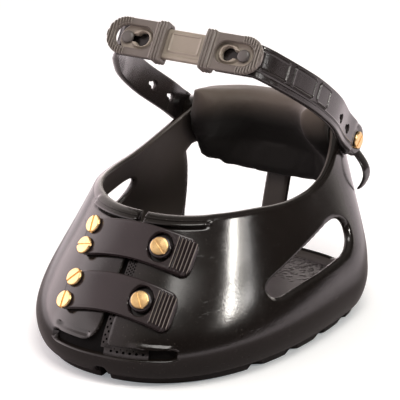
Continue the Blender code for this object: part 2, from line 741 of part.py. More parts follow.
def side_path(side):
    """Return a side strap's middle line in the loop's plane, from its tip in front to its end."""
    tip = front_face() - FIT_GAP - BAND_THICKNESS / 2
    middle = pivot_half() + FIT_GAP + BAND_THICKNESS / 2
    lean = side * LOOP_SHIFT / tip
    points = [(STRAIGHT_HALF, -tip)]
    points += [(a * LOOP_HALF_WIDTH, -b * LOOP_REACH) for a, b in reversed(SIDE_SHARES)]
    points += [(middle + WALL * 0.2, -BAND_END), (middle, -BAND_END / 2), (middle, 0)]
    end = [(middle, BAND_END * share) for share in BAND_END_SHARES]
    straight = [(TIP_HALF + (STRAIGHT_HALF - TIP_HALF) * k / 3, -tip) for k in range(3)]
    return [(side * (x - lean * min(y, 0)), y) for x, y in straight + smooth_path(points, 3) + end]


def band(name, path, side, low, high, lip):
    """Sweep the strap's section along its path, with a lip and a round end behind the pivot."""
    rings = []
    half = BAND_THICKNESS / 2
    for k, point in enumerate(path):
        before, after = path[max(k - 1, 0)], path[min(k + 1, len(path) - 1)]
        along = np.array(after) - np.array(before)
        along = along / np.linalg.norm(along)
        outward = np.array((along[1], -along[0])) * side
        raised = half + (lip if k > 4 else 0.0)
        share = math.sqrt(1 - (max(point[1], 0) / (BAND_END + FIT_GAP)) ** 2)
        section_points = [(-half, low), (-half, high), (half, high), (half, low + BAND_LIP_WIDTH),
                          (raised, low + BAND_LIP_WIDTH), (raised, low)]
        rings.append([(*(np.array(point) + outward * d), z * share) for d, z in section_points])
    return loft(name, rings)


def path_place(path, distance):
    """Return the point and outward turn at a distance forward of the pivot along a side path."""
    walk = list(reversed(path))
    start = min(range(len(walk)), key=lambda k: abs(walk[k][1]))
    total = 0.0
    for k in range(start, len(walk) - 1):
        step = math.dist(walk[k], walk[k + 1])
        if total + step >= distance:
            t = (distance - total) / step
            here = [a + (b - a) * t for a, b in zip(walk[k], walk[k + 1])]
            turn = math.atan2(walk[k + 1][0] - walk[k][0], -(walk[k + 1][1] - walk[k][1]))
            return here, turn
        total += step
    return walk[-1], 0.0


def tail_mesh(name, side):
    """Make the thin free tail that hangs from the strap's end and bows outward."""
    steps = 10
    start_x = pivot_half() + FIT_GAP + BAND_THICKNESS / 2
    rings = []
    for k in range(steps + 1):
        t = k / steps
        x = start_x + TAIL_FLARE * t + TAIL_BULGE * math.sin(math.pi * t)
        down = Vector((0, math.sin(LOOP_TILT), -math.cos(LOOP_TILT))) * TAIL_LENGTH * t
        across = Vector((0, math.cos(LOOP_TILT), math.sin(LOOP_TILT)))
        centre = Vector((x * side, BAND_END / 2, -BAND_WIDTH / 4)) + down
        half_x, half_w = TAIL_THICKNESS / 2, TAIL_WIDTH / 2
        rings.append([centre + Vector((a * half_x, 0, 0)) + across * (b * half_w)
                      for a, b in ((-1, -1), (1, -1), (1, 1), (-1, 1))])
    return loft(name, rings)


def make_side_strap(axis, side, word):
    """Make a side strap with its lip, adjusting keyholes, pivot hole and free tail."""
    path = side_path(side)
    half = BAND_WIDTH / 2
    strap = add_object(word + "_side_strap", band(word + "_side_strap", path, side, -half, half, BAND_LIP),
                       "loop", axis)
    cutter(strap, tail_mesh(word + "_tail", side), "UNION", parent=axis)
    turn = Matrix.Rotation(side * math.pi / 2, 4, "Y")
    middle = pivot_half() * side
    drill = lathe(word + "_pivot_drill", hole_profile(SHANK_RADIUS + FIT_GAP))
    cutter(strap, drill, matrix=Matrix.Translation((middle, 0, 0)) @ turn, parent=axis)
    for k in range(2):
        (x, y), swing = path_place(path, STRAP_HOLE_FIRST + k * STRAP_HOLE_SPACING)
        hole = lathe(f"{word}_keyhole_{k}", hole_profile(STRAP_HOLE_RADIUS))
        cutter(strap, hole, matrix=Matrix.Translation((x, y, 0)) @ turn, parent=axis)
    drill = lathe(word + "_stud_drill", hole_profile(STUD_NECK + FIT_GAP))
    lean = Matrix.Rotation(math.pi / 2, 4, "X")
    place = Matrix.Translation((LOOP_SHIFT + side * STUD_PLACE, -front_face(), 0)) @ lean
    cutter(strap, drill, matrix=place, parent=axis)


def stadium(start, end, half, side, steps=6):
    """Return an outline with straight edges and round ends, as x and z pairs."""
    out = []
    for centre, base in ((end - half, -math.pi / 2), (start + half, math.pi / 2)):
        for k in range(steps + 1):
            a = base + math.pi * k / steps
            out.append((side * (centre + half * math.cos(a)), half * math.sin(a)))
    return out


def make_centre_strap(axis):
    """Make the straight centre strap with round ends, raised bosses and keyholes."""
    half = BAND_WIDTH / 2 - BAND_LIP
    outline = stadium(-CENTRE_HALF, CENTRE_HALF, half, 1, 8)
    mesh = prism("centre_strap", outline, -LOOP_REACH, -front_face(), "y")
    strap = add_object("centre_strap", mesh, "centre", axis)
    for side in (-1, 1):
        outline = stadium(BOSS_START, BOSS_END, BOSS_HALF_WIDTH, side)
        top, foot = -LOOP_REACH - BOSS_HEIGHT, -front_face() - CENTRE_THICKNESS / 2
        cutter(strap, prism(f"boss_{side}", outline, top, foot, "y"), "UNION", parent=axis)
        narrow = KEYHOLE_SLOT_HALF
        slot = stadium(KEYHOLE_ROUND - narrow, STUD_PLACE + narrow, narrow, side)
        near, far = -LOOP_REACH - BOSS_HEIGHT - OVERRUN, -front_face() + OVERRUN
        cutter(strap, prism(f"slot_{side}", slot, near, far, "y"), parent=axis)
        start, end = KEYHOLE_ROUND - KEYHOLE_RADIUS, KEYHOLE_ROUND + KEYHOLE_RADIUS
        eye = prism(f"eye_{side}", stadium(start, end, KEYHOLE_RADIUS, side), near, far, "y")
        cutter(strap, eye, parent=axis)


def make_stud(axis, side, word):
    """Make the stud that passes through both straps, with a domed head and a back plate."""
    outer = LOOP_REACH + FIT_GAP
    inner = front_face() - FIT_GAP - BAND_THICKNESS - FIT_GAP
    plate, back, head = STUD_HEAD_RADIUS * 1.1, inner - FLANGE_HEIGHT, STUD_HEAD_RADIUS
    profile = [(0, back), (plate, back), (plate, inner), (STUD_NECK, inner), (STUD_NECK, outer),
               (head, outer), (head, outer + STUD_HEAD_HEIGHT / 2),
               (head * 0.7, outer + STUD_HEAD_HEIGHT * 0.9), (0, outer + STUD_HEAD_HEIGHT)]
    lean = Matrix.Rotation(math.pi / 2, 4, "X")
    add_object(word + "_strap_stud", lathe(word + "_strap_stud", profile), "loop", axis,
               Matrix.Translation((side * STUD_PLACE, 0, 0)) @ lean)


def ring_outline(side):
    """Return the lock ring's outline: square at the keeper end and round at the other."""
    half = RING_HALF_WIDTH
    keeper = keeper_half()
    start, end = RING_INNER, RING_OUTER
    out = [(start, -keeper), (start + KEEPER_LENGTH, -keeper), (start + KEEPER_LENGTH, -half)]
    for k in range(13):
        a = -math.pi / 2 + math.pi * k / 12
        out.append((end - half + half * math.cos(a), half * math.sin(a)))
    out += [(start + KEEPER_LENGTH, half), (start + KEEPER_LENGTH, keeper), (start, keeper)]
    return [(side * x, z) for x, z in out]


def keeper_half():
    """Return half the outer height of the keeper that wraps the centre strap."""
    return BAND_WIDTH / 2 - BAND_LIP + FIT_GAP + KEEPER_SIDE


def make_lock_ring(axis, side, word):
    """Make a lock ring: a flat ring with a ribbed keeper that wraps the centre strap."""
    under = LOOP_REACH + FIT_GAP
    outer = under + RING_THICKNESS
    mesh = prism(word + "_lock_ring", ring_outline(side), -outer, -under, "y")
    ring = add_object(word + "_lock_ring", mesh, "ring", axis)
    inner_gap = BAND_WIDTH / 2 - BAND_LIP + FIT_GAP
    back = front_face() - FIT_GAP
    keeper = keeper_half()
    start, end = sorted((side * RING_INNER, side * (RING_INNER + KEEPER_LENGTH)))
    far = -back + KEEPER_SIDE
    outline = [(-outer, -keeper), (-outer, keeper), (far, keeper), (far, -keeper)]
    block = prism(word + "_keeper", outline, start, end, "x")
    cutter(ring, block, "UNION", parent=axis)
    for k in range(KEEPER_RIB_COUNT):
        pitch = KEEPER_LENGTH * 1.6 / KEEPER_RIB_COUNT
        low = side * (RING_INNER + k * pitch)
        high = low + side * pitch * 0.55
        rib_half = keeper if abs(high) < RING_INNER + KEEPER_LENGTH else RING_HALF_WIDTH
        reach, top, foot = rib_half - FIT_GAP, -outer - KEEPER_RIB_HEIGHT, -outer + FIT_GAP
        rib = [(top, -reach), (top, reach), (foot, reach), (foot, -reach)]
        cutter(ring, prism(f"{word}_rib_{k}", rib, *sorted((low, high)), "x"), "UNION", parent=axis)
    passage = [(-under, -inner_gap), (-under, inner_gap), (-back, inner_gap), (-back, -inner_gap)]
    cutter(ring, prism(word + "_passage", passage, start - OVERRUN, end + OVERRUN, "x"), parent=axis)
    hole = stadium(RING_HOLE_START, RING_HOLE_END, RING_HOLE_HALF, side, 8)
    cutter(ring, prism(word + "_ring_hole", hole, -outer - OVERRUN, -under + OVERRUN, "y"), parent=axis)


def make_pivots():
    """Make the two pivot screws and nuts that hold the side straps on the wings."""
    for side, word in ((-1, "left"), (1, "right")):
        frame = pivot_frame(side)
        seat = pivot_half() + FIT_GAP + BAND_THICKNESS + SEAT_GAP
        inner = pad_inner() - SEAT_GAP
        add_screw(word + "_pivot_screw", frame, seat, inner - FLANGE_HEIGHT, 0.6)
        add_nut(word + "_pivot_nut", frame, inner, pivot_half() - FIT_GAP, inner)


# Soft heel cuff

def cuff_profile():
    """Return the cuff's section as inward depth and height pairs: flap below, fat roll above."""
    back = WALL + SEAT_GAP
    low, flap = CUFF_LOW, back + CUFF_LOWER_THICKNESS
    front = back + CUFF_ROLL_THICKNESS
    over, top = WING_HEIGHT + SEAT_GAP, CUFF_TOP
    roll = top - CUFF_ROLL_LOW
    thick = CUFF_ROLL_THICKNESS
    return [(back, low), (back, (low + over) / 2), (back, over), (WALL * 0.4, over),
            (WALL * 0.1, over + roll * 0.14), (WALL * 0.6, over + roll * 0.30),
            (back + thick * 0.35, top), (back + thick * 0.7, top - roll * 0.06),
            (front - WALL * 0.2, top - roll * 0.22), (front, top - roll * 0.5),
            (front - WALL * 0.3, top - roll * 0.78), (flap + WALL * 0.4, CUFF_ROLL_LOW),
            (flap, CUFF_ROLL_LOW - roll * 0.2), (flap - WALL * 0.1, low + roll * 0.08),
            (flap - CUFF_LOWER_THICKNESS * 0.4, low)]


def cuff_height(z, t):
    """Return a section height at a place round the cuff: its top dips in the middle, its foot rises."""
    over = WING_HEIGHT + SEAT_GAP
    if z > over:
        return over + (z - over) * (1 - CUFF_DIP_SHARE * (1 - t * t))
    low = max(0.0, (CUFF_ROLL_LOW - z) / (CUFF_ROLL_LOW - CUFF_LOW))
    rise = max(0.0, (abs(t) - CUFF_STEP_START_SHARE) / (1 - CUFF_STEP_START_SHARE))
    return z + CUFF_STEP_RISE * low * rise


def make_cuff():
    """Make the padded cuff that lines the heel between the wings and rolls over the rim."""
    rings = []
    profile = cuff_profile()
    middle_z = (CUFF_ROLL_LOW + CUFF_TOP) / 2
    for k in range(CUFF_STEPS + 1):
        t = 2 * k / CUFF_STEPS - 1
        end = max(0.0, (abs(t) - 0.88) / 0.12)
        shrink = math.sqrt(max(1 - 0.75 * end * end, 0))
        ring = []
        for depth, z in profile:
            height = middle_z + (cuff_height(z, t) - middle_z) * (0.80 + 0.20 * shrink)
            base = WALL + SEAT_GAP
            inset = depth
            if depth >= base or end > 0:
                inset = base + max(depth - base, 0) * (0.25 + 0.75 * shrink)
            reach = np.interp((height - CUFF_LOW) / CUFF_HEIGHT, *zip(*CUFF_SIDE_SHARES))
            ring.append(foot_point(math.pi + CUFF_TURN * t * float(reach), height, inset))
        rings.append(ring)
    cuff = add_object("heel_cuff", loft("heel_cuff", rings), "cuff", smooth_angle=60)
    radius, pad = FLANGE_RADIUS + SEAT_GAP, PIVOT_PAD_RADIUS + SEAT_GAP
    deep, seat = pad_inner() - 2 * SEAT_GAP - FLANGE_HEIGHT, pad_inner() - SEAT_GAP
    far = pivot_half() + OVERRUN
    pocket = [(0, deep), (radius, deep), (radius, seat), (pad, seat), (pad, far), (0, far)]
    for side in (-1, 1):
        cutter(cuff, lathe(f"pivot_pocket_{side}", pocket), matrix=pivot_frame(side))


def main():
    """Clear the scene and make every piece."""
    for old in list(bpy.data.objects):
        bpy.data.objects.remove(old, do_unlink=True)
    make_shell()
    make_toe_strap("upper_toe_strap", UPPER_STRAP_HEIGHT)
    make_toe_strap("lower_toe_strap", LOWER_STRAP_HEIGHT)
    make_toe_fasteners()
    axis = loop_axis()
    front = loop_front(axis)
    for side, word in ((-1, "left"), (1, "right")):
        make_side_strap(axis, side, word)
        make_stud(front, side, word)
        make_lock_ring(front, side, word)
    make_centre_strap(front)
    make_pivots()
    make_cuff()


main()
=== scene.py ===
# %% [markdown]
# # A horse's hoof boot
#
# The boot in the photograph is one glossy black moulding with a soft heel cuff, two rubber straps across
# the toe and a rubber loop that goes round the pastern. This script draws it piece by piece. Each piece is
# a surface that is worked out from a few named sizes with numpy, and each finish is a small shader that is
# written as sums.
#
# The loaded frame holds the plain solids and the joints. Every piece below, apart from the two toe
# straps, rides on one of its bodies.

# %% Load the frame
import math
import bpy
import numpy as np
from mathutils import Matrix, Vector
from mathutils.bvhtree import BVHTree


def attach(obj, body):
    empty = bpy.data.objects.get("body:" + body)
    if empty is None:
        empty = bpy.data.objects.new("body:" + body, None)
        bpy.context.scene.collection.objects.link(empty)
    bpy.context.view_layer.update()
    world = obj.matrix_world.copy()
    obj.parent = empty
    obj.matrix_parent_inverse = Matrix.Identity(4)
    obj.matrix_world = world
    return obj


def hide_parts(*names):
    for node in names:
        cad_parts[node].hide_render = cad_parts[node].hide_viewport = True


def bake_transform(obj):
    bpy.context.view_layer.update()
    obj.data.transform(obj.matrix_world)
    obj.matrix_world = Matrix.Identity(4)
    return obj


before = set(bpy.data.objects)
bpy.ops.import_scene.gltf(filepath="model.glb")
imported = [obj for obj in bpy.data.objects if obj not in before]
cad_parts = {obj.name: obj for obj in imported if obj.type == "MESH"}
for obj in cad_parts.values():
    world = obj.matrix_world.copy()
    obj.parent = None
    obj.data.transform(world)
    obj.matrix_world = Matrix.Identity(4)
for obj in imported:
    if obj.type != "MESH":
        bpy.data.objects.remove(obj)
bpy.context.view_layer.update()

# %% [markdown]
# ## The sizes
#
# These are the sizes of the solids, in metres. The toe points along -Y and the boot stands on Z = 0. A row
# of `SECTIONS` describes one level of the shell as shares: its height, half width, toe, heel, the place of
# its greatest width, and last the power of its heel curve. `RIM_LINE` and `WINDOW` are outlines seen from
# the side.

# %% Sizes
HALF_WIDTH, TOE, HEEL, RIM = 0.0663, 0.0785, 0.095, 0.065
WALL, FLOOR, WING = 0.0038, 0.009, 0.0775
SECTIONS = np.array([
    (0.0, 0.89, 0.911, 0.695, 0.358, 2.5), (0.077, 0.965, 0.978, 0.768, 0.358, 2.5),
    (0.2, 1.0, 1.0, 0.832, 0.347, 2.6), (0.323, 0.983, 0.968, 0.874, 0.337, 2.7),
    (0.462, 0.938, 0.879, 0.905, 0.332, 2.8), (0.738, 0.811, 0.675, 0.968, 0.311, 2.9),
    (1.0, 0.697, 0.503, 1.0, 0.295, 3.0), (1.308, 0.588, 0.306, 1.021, 0.284, 3.0),
    (1.5, 0.53, 0.2, 1.03, 0.284, 3.0)])
TOE_POWER, TOE_WALL = 2.3, 1.3
RIM_LINE = np.array([(-0.9, 1.0), (-0.42, 1.0), (-0.29, 1.0), (-0.13, 0.99), (0.0, 0.97), (0.12, 0.955),
                     (0.29, 0.95), (0.4, 0.964), (0.48, 0.987), (0.56, 1.022), (0.64, 1.068),
                     (0.73, 1.126)])
WING_START = 0.795 * HEEL
WINDOW = np.array([(0.0, 0.2), (0.035, 0.4), (0.18, 0.57), (0.43, 0.79), (0.65, 0.93), (0.81, 1.0),
                   (0.93, 0.93), (1.0, 0.7), (0.98, 0.4), (0.91, 0.21), (0.82, 0.13), (0.55, 0.09),
                   (0.25, 0.05), (0.05, 0.0)])
WINDOW_LOW, WINDOW_HIGH = np.array([-0.024, 0.029]), np.array([0.0455, 0.0463])
STRAP_THICK, STRAP_HALF, FIT = 0.0025, 0.0067, 0.0003
UPPER_STRAP, LOWER_STRAP = 0.0549, 0.036
PIVOT, PIVOT_FACE = np.array([0.0, 0.077, 0.0695]), 0.04248
TILT = math.radians(36.2)
LOOP_REACH, LOOP_HALF, LOOP_SHIFT = 0.105, 0.049, 0.0035
BAND_HALF, BAND_THICK, CENTRE_THICK = 0.0075, 0.0024, 0.0024
SIDES = ((-1, "left"), (1, "right"))
print(f"shell {2000 * HALF_WIDTH:.1f} mm wide, rim at {1000 * RIM:.1f} mm, wings at {1000 * WING:.1f} mm")

# %% [markdown]
# ## Meshes and grids
#
# `closed_mesh` turns points and faces into an object. `cells` numbers the faces of a grid. `onto_cut` moves
# the grid's points that are nearest to a cut onto the cut, so that its edge is crisp.

# %% Grids
def closed_mesh(name, points, quads, triangles=None, chart=None, angle=40):
    """Make an object from whole arrays of points and faces, with the chart kept as its UV map."""
    mesh = bpy.data.meshes.new(name)
    faces = quads.tolist() + ([] if triangles is None else triangles.tolist())
    mesh.from_pydata(points.tolist(), [], faces)
    if chart is not None:
        corners = np.zeros(len(mesh.loops), dtype=np.int32)
        mesh.loops.foreach_get("vertex_index", corners)
        mesh.uv_layers.new(name="chart").data.foreach_set("uv", chart[corners].ravel().astype(np.float32))
    mesh.shade_smooth()
    mesh.set_sharp_from_angle(angle=math.radians(angle))
    made = bpy.data.objects.new(name + "_form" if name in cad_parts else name, mesh)
    bpy.context.collection.objects.link(made)
    print(f"{name}: {len(points)} points, {len(faces)} faces")
    return made


def cells(rows, columns, wrap):
    """Corner numbers of every cell of a grid, anticlockwise when columns go right and rows go up."""
    j, i = np.meshgrid(np.arange(rows - 1), np.arange(columns if wrap else columns - 1), indexing="ij")
    here, right = j * columns + i, j * columns + (i + 1) % columns
    return np.stack([here, right, right + columns, here + columns], -1).reshape(-1, 4)


def onto_cut(S, T, distance, step):
    """Move a point of each grid edge that crosses the cut to where the distance is zero.

    Four times, the point goes back along the slope of the distance, by the distance over the slope."""
    D = distance(S, T)
    near = np.zeros(D.shape, bool)
    for axis in (0, 1):
        a = [slice(None)] * 2
        b = [slice(None)] * 2
        a[axis], b[axis] = slice(0, -1), slice(1, None)
        a, b = tuple(a), tuple(b)
        crossed = D[a] * D[b] < 0
        first = np.abs(D[a]) <= np.abs(D[b])
        near[a] |= crossed & first
        near[b] |= crossed & ~first
    s, t, d = S[near], T[near], D[near]
    for _ in range(4):
        slope_s = (distance(s + step, t) - distance(s - step, t)) / (2 * step)
        slope_t = (distance(s, t + step) - distance(s, t - step)) / (2 * step)
        steep = np.maximum(slope_s ** 2 + slope_t ** 2, 1e-6)
        s, t = s - d * slope_s / steep, t - d * slope_t / steep
        d = distance(s, t)
    S[near], T[near], D[near] = s, t, 0.0
    return S, T, D


print("a grid of 3 by 3 points has", len(cells(3, 3, False)), "faces, and wrapped", len(cells(3, 3, True)))

# %% [markdown]
# ## Sheets with cuts
#
# `two_faced` is the tool for everything that is cut from a sheet: it lays a grid over the sheet, moves
# points onto the cut, drops what is outside, and closes the sheet between its upper and its lower face.
# Blender's booleans could make the same cuts, but they leave thin faces that show as streaks on a glossy
# wall, and they can't round an edge.

# %% Sheets
def two_faced(name, s, t, faces_at, distance, radius, wrap=False, flip=False, step=2e-5, angle=40,
              extra=None, inner=0.0):
    """Make the closed solid between two faces over a grid, cut where the distance is under zero.

    Near a cut both faces draw together by k = sqrt(1 - (1 - min(d / radius, 1)) ** 2), a quarter circle;
    with a radius of zero the cut has upright sides instead. Extra points and faces join the same object,
    and inner shifts the lower face's chart, so that a finish can tell it apart."""
    S, T = np.meshgrid(np.asarray(s, float), np.asarray(t, float))
    S, T, D = onto_cut(S, T, distance, step)
    upper, lower = (np.asarray(face).reshape(-1, 3) for face in faces_at(S, T))
    d = D.ravel()
    corner = cells(len(t), len(s), wrap)
    sign = np.sign(d[corner])
    whole = corner[(sign.min(1) >= 0) & (sign.max(1) > 0)]
    split = corner[(sign.min(1) < 0) & (sign.max(1) > 0) & ((sign == 0).sum(1) == 2) & (sign.sum(1) == 0)]
    at = np.argmax(np.sign(d[split]), 1) if len(split) else np.zeros(0, int)
    row = np.arange(len(split))
    thirds = np.stack([split[row, (at + turn) % 4] for turn in (3, 0, 1)], -1).reshape(-1, 3)
    if radius:
        k = np.sqrt(np.clip(1 - (1 - np.clip(d / radius, 0, 1)) ** 2, 0, 1))[:, None]
        middle = (upper + lower) / 2
        upper, lower = middle + (upper - middle) * k, middle + (lower - middle) * k
    count = len(d)
    below = np.arange(count) + count
    if radius:
        below = np.where(d <= 0, np.arange(count), below)
    quads = [whole, below[whole][:, ::-1]]
    if not radius:
        edges = np.concatenate([np.stack([f[:, k], np.roll(f, -1, 1)[:, k]], -1)
                                for f in (whole, thirds) for k in range(f.shape[1])])
        keys = np.sort(edges, 1)
        _, index, times = np.unique(keys, axis=0, return_index=True, return_counts=True)
        rim = edges[index[times == 1]]
        quads.append(np.stack([rim[:, 1], rim[:, 0], below[rim[:, 0]], below[rim[:, 1]]], -1))
    quads = np.concatenate(quads)
    triangles = np.concatenate([thirds, below[thirds][:, ::-1]])
    points = np.concatenate([upper, lower])
    chart = np.concatenate([np.stack([S.ravel(), T.ravel() + shift], -1) for shift in (0.0, inner)])
    if flip:
        quads, triangles = quads[:, ::-1], triangles[:, ::-1]
    if extra is not None:
        more, rings = extra
        quads = np.concatenate([quads, rings + len(points)])
        points, chart = np.concatenate([points, more]), np.concatenate([chart, np.zeros((len(more), 2))])
    used, renumber = np.unique(np.concatenate([quads.ravel(), triangles.ravel()]), return_inverse=True)
    quads, triangles = (renumber[:quads.size].reshape(-1, 4), renumber[quads.size:].reshape(-1, 3))
    return closed_mesh(name, points[used], quads, triangles, chart[used], angle)

# %% [markdown]
# ## Skins over rings
#
# Everything that isn't a sheet is a stack of rings joined by four-sided faces: a turned part, a free
# tail, the padded cuff. `lathe` makes its rings from a profile of radius and height pairs. The Screw
# modifier could turn a profile too, but rings that are worked out here can also join a larger piece.

# %% Skins
def ring_faces(rings, around, closed):
    """Corner numbers for a stack of rings, joined round and, if closed, last to first."""
    j, i = np.meshgrid(np.arange(rings if closed else rings - 1), np.arange(around), indexing="ij")
    here, right = j * around + i, j * around + (i + 1) % around
    up = (here + around) % (rings * around)
    return np.stack([here, right, (right + around) % (rings * around), up], -1).reshape(-1, 4)


def skin(name, points, closed=False, flip=False, angle=40, chart=None):
    """Join rings of points (rings, around, 3) into a closed skin; open ends end in one middle point."""
    rings, around = points.shape[:2]
    quads = ring_faces(rings, around, closed)
    flat, triangles = points.reshape(-1, 3), np.zeros((0, 3), int)
    uv = np.zeros((len(flat), 2)) if chart is None else chart.reshape(-1, 2)
    if not closed:
        i = np.arange(around)
        start, end = len(flat), len(flat) + 1
        last = (rings - 1) * around
        after = (i + 1) % around
        triangles = np.concatenate([np.stack([after, i, np.full(around, start)], -1),
                                    np.stack([last + i, last + after, np.full(around, end)], -1)])
        flat = np.concatenate([flat, points[[0, -1]].mean(1)])
        uv = np.concatenate([uv, uv[[0, -1]]])
    if flip:
        quads, triangles = quads[:, ::-1], triangles[:, ::-1]
    return closed_mesh(name, flat, quads, triangles, uv, angle)


def turned_rings(profile, around):
    """Turn pairs of radius and height about Z: (r cos a, r sin a, z)."""
    a = np.linspace(0, 2 * math.pi, around, endpoint=False)
    r, z = np.array(profile, float).T[..., None]
    return np.stack(np.broadcast_arrays(r * np.cos(a), r * np.sin(a), z), -1)


def lathe(name, profile, place, around=48):
    """Turn a profile about the Z of a placing matrix; with both ends off the axis it closes on itself."""
    points = turned_rings(profile, around)
    closed = profile[0][0] > 0 and profile[-1][0] > 0
    return skin(name, moved(points, place), closed=closed, chart=points[..., :2].copy())


def moved(points, place):
    """Carry points by a 4 by 4 matrix."""
    turn = np.array(place)
    return points @ turn[:3, :3].T + turn[:3, 3]


# %% [markdown]
# ## Curves and distances
#
# A cut is written as a distance: above zero where material stays, zero on the edge. Two cuts join by taking
# the lesser distance. These few functions are all that the outlines below need.

# %% Curves and distances
def smooth(value, low, high):
    """Rise from 0 to 1 between low and high with level ends: 3 u^2 - 2 u^3."""
    u = np.clip((value - low) / (high - low), 0, 1)
    return u * u * (3 - 2 * u)


def fall(value, low, high):
    """Drop from 1 to 0 between low and high with level ends."""
    return 1 - smooth(value, low, high)


def lines(*spans):
    """Grid lines from spans of a start, an end and a pitch."""
    return np.concatenate([np.arange(*span) for span in spans])


def mirrored(places):
    """Places on both sides of zero, from zero and up."""
    return np.concatenate([-places[:0:-1], places])


def curve_through(points, steps, closed=False):
    """Pass a smooth curve through points, read at even steps.

    Each span is a cubic; its slope at a point is half the way between that point's two neighbours."""
    points = np.asarray(points, float)
    if closed:
        a, b, c, d = (np.roll(points, 1 - j, axis=0) for j in range(4))
    else:
        ends = np.concatenate([[2 * points[0] - points[1]], points, [2 * points[-1] - points[-2]]])
        a, b, c, d = ends[:-3], ends[1:-2], ends[2:-1], ends[3:]
    t = np.arange(steps)[None, :, None] / steps
    a, b, c, d = (p[:, None] for p in (a, b, c, d))
    curve = (2 * b + (c - a) * t + (2 * a - 5 * b + 4 * c - d) * t ** 2
             + (3 * b - a - 3 * c + d) * t ** 3) / 2
    curve = curve.reshape(-1, 2)
    return curve if closed else np.concatenate([curve, points[-1:]])


def outline_distance(x, y, outline):
    """Distance from points to a closed outline, positive outside it.

    It is the least distance to a side, and under zero where a level ray crosses an odd number of sides."""
    shape = np.shape(x)
    p = np.stack([np.ravel(x), np.ravel(y)], -1)[:, None]
    a, b = outline[None], np.roll(outline, -1, axis=0)[None]
    side = b - a
    along = np.clip(((p - a) * side).sum(-1) / (side ** 2).sum(-1), 0, 1)
    gap = np.sqrt((((p - a) - side * along[..., None]) ** 2).sum(-1)).min(1)
    crosses = ((a[..., 1] > p[..., 1]) != (b[..., 1] > p[..., 1]))
    rise = np.where(side[..., 1] == 0, 1e-12, side[..., 1])
    at = a[..., 0] + side[..., 0] * (p[..., 1] - a[..., 1]) / rise
    inside = (crosses & (p[..., 0] < at)).sum(1) % 2 == 1
    return np.where(inside, -gap, gap).reshape(shape)


def box_distance(x, y, half_x, half_y, corner):
    """Distance to a rounded box about the origin, positive outside.

    The gaps across and up count from the box less its corner: beyond both the distance is the root of
    their squares' sum, else the greater one, and the corner's radius comes off."""
    a, b = np.abs(x) - half_x + corner, np.abs(y) - half_y + corner
    return np.hypot(np.maximum(a, 0), np.maximum(b, 0)) + np.minimum(np.maximum(a, b), 0) - corner


print("smooth at the quarters of its rise:", smooth(np.linspace(0, 1, 5), 0, 1).round(3))

# %% [markdown]
# ## The foot's shape
#
# Every level of the shell is an oval with a blunt heel. Its half width, toe, heel, widest place and heel
# power change smoothly with height: cubic curves join the table's rows and keep their slopes. A point is
# found from an angle a measured from the toe as x = half sin(a)^(2/p) and y = wide + reach cos(a)^(2/p).
# The form could be sculpted as well; a formula was chosen because the straps, screws and cuff all ask it
# where the wall is.

# %% Foot
def section(z):
    """Half width, toe, heel, widest place and heel power of the outer outline at heights z."""
    high = SECTIONS[:, 0]
    after = np.concatenate([SECTIONS[1:], SECTIONS[-1:]])
    before = np.concatenate([SECTIONS[:1], SECTIONS[:-1]])
    slopes = (after - before) / (after - before)[:, :1]
    share = np.asarray(z, float) / RIM
    k = np.clip(np.searchsorted(high, share) - 1, 0, len(high) - 2)
    span = high[k + 1] - high[k]
    t, span = ((share - high[k]) / span)[..., None], span[..., None]
    row = ((1 + 2 * t) * (1 - t) ** 2 * SECTIONS[k] + t * (1 - t) ** 2 * span * slopes[k]
           + t * t * (3 - 2 * t) * SECTIONS[k + 1] + t * t * (t - 1) * span * slopes[k + 1])
    return tuple(row[..., k + 1] * size for k, size in enumerate((HALF_WIDTH, -TOE, HEEL, HEEL, 1)))


def foot_point(angle, z, inset=0.0):
    """Point of the outline at an angle from the toe and a height, inset from the outer face."""
    half, toe, heel, wide, power = section(z)
    side, front = np.sin(angle), np.cos(angle)
    power = np.where(front > 0, TOE_POWER, power)
    reach = np.where(front > 0, toe + inset * TOE_WALL - wide, heel - inset - wide)
    x = (half - inset) * np.sign(side) * np.abs(side) ** (2 / power)
    return np.stack([x, wide + reach * np.abs(front) ** (2 / power), np.broadcast_to(z, x.shape)], -1)


def front_wall(x, z):
    """Outer wall point in front: y = wide + (toe - wide) (1 - (|x| / half)^p)^(1/p) at x and a height."""
    half, toe, _, wide, _ = section(z)
    rise = (1 - (np.abs(x) / half) ** TOE_POWER) ** (1 / TOE_POWER)
    return np.stack([x, wide + (toe - wide) * rise, z], -1)


def front_normal(x, z, probe=0.00019):
    """Outward direction of the front wall: the cross product of its two slopes."""
    across = front_wall(x + probe, z) - front_wall(x - probe, z)
    up = front_wall(x, z + probe) - front_wall(x, z - probe)
    out = np.cross(across, up)
    return out / np.linalg.norm(out, axis=-1, keepdims=True)


def wall_place(x, z):
    """Matrix standing on the front wall, its Z outward and its Y up the wall."""
    out = Vector(front_normal(np.array(x), np.array(z)))
    up = (Vector((0, 0, 1)) - out * out.z).normalized()
    turn = Matrix((up.cross(out), up, out)).transposed().to_4x4()
    return Matrix.Translation(Vector(front_wall(np.array(x), np.array(z)))) @ turn


def pivot_place(side):
    """Matrix at the pivot, its Z pointing out to a side."""
    return Matrix.Translation(Vector(PIVOT)) @ Matrix.Rotation(side * math.pi / 2, 4, "Y")


RIM_CURVE = np.concatenate([curve_through(RIM_LINE * (HEEL, RIM), 8),
                            [(WING_START, WING), (2 * HEEL, WING)]])


def rim_height(angle):
    """Height of the rim at an angle: z = rim(y(angle, z)), found by putting z back in a few times."""
    z = np.full(np.shape(angle), RIM)
    for _ in range(12):
        z = z * 0.4 + 0.6 * np.interp(foot_point(angle, z)[..., 1], RIM_CURVE[:, 0], RIM_CURVE[:, 1])
    return z


print("rim at the toe, side and heel, in mm:", np.round(rim_height(np.array([0.0, 1.6, 3.1])) * 1000, 1))

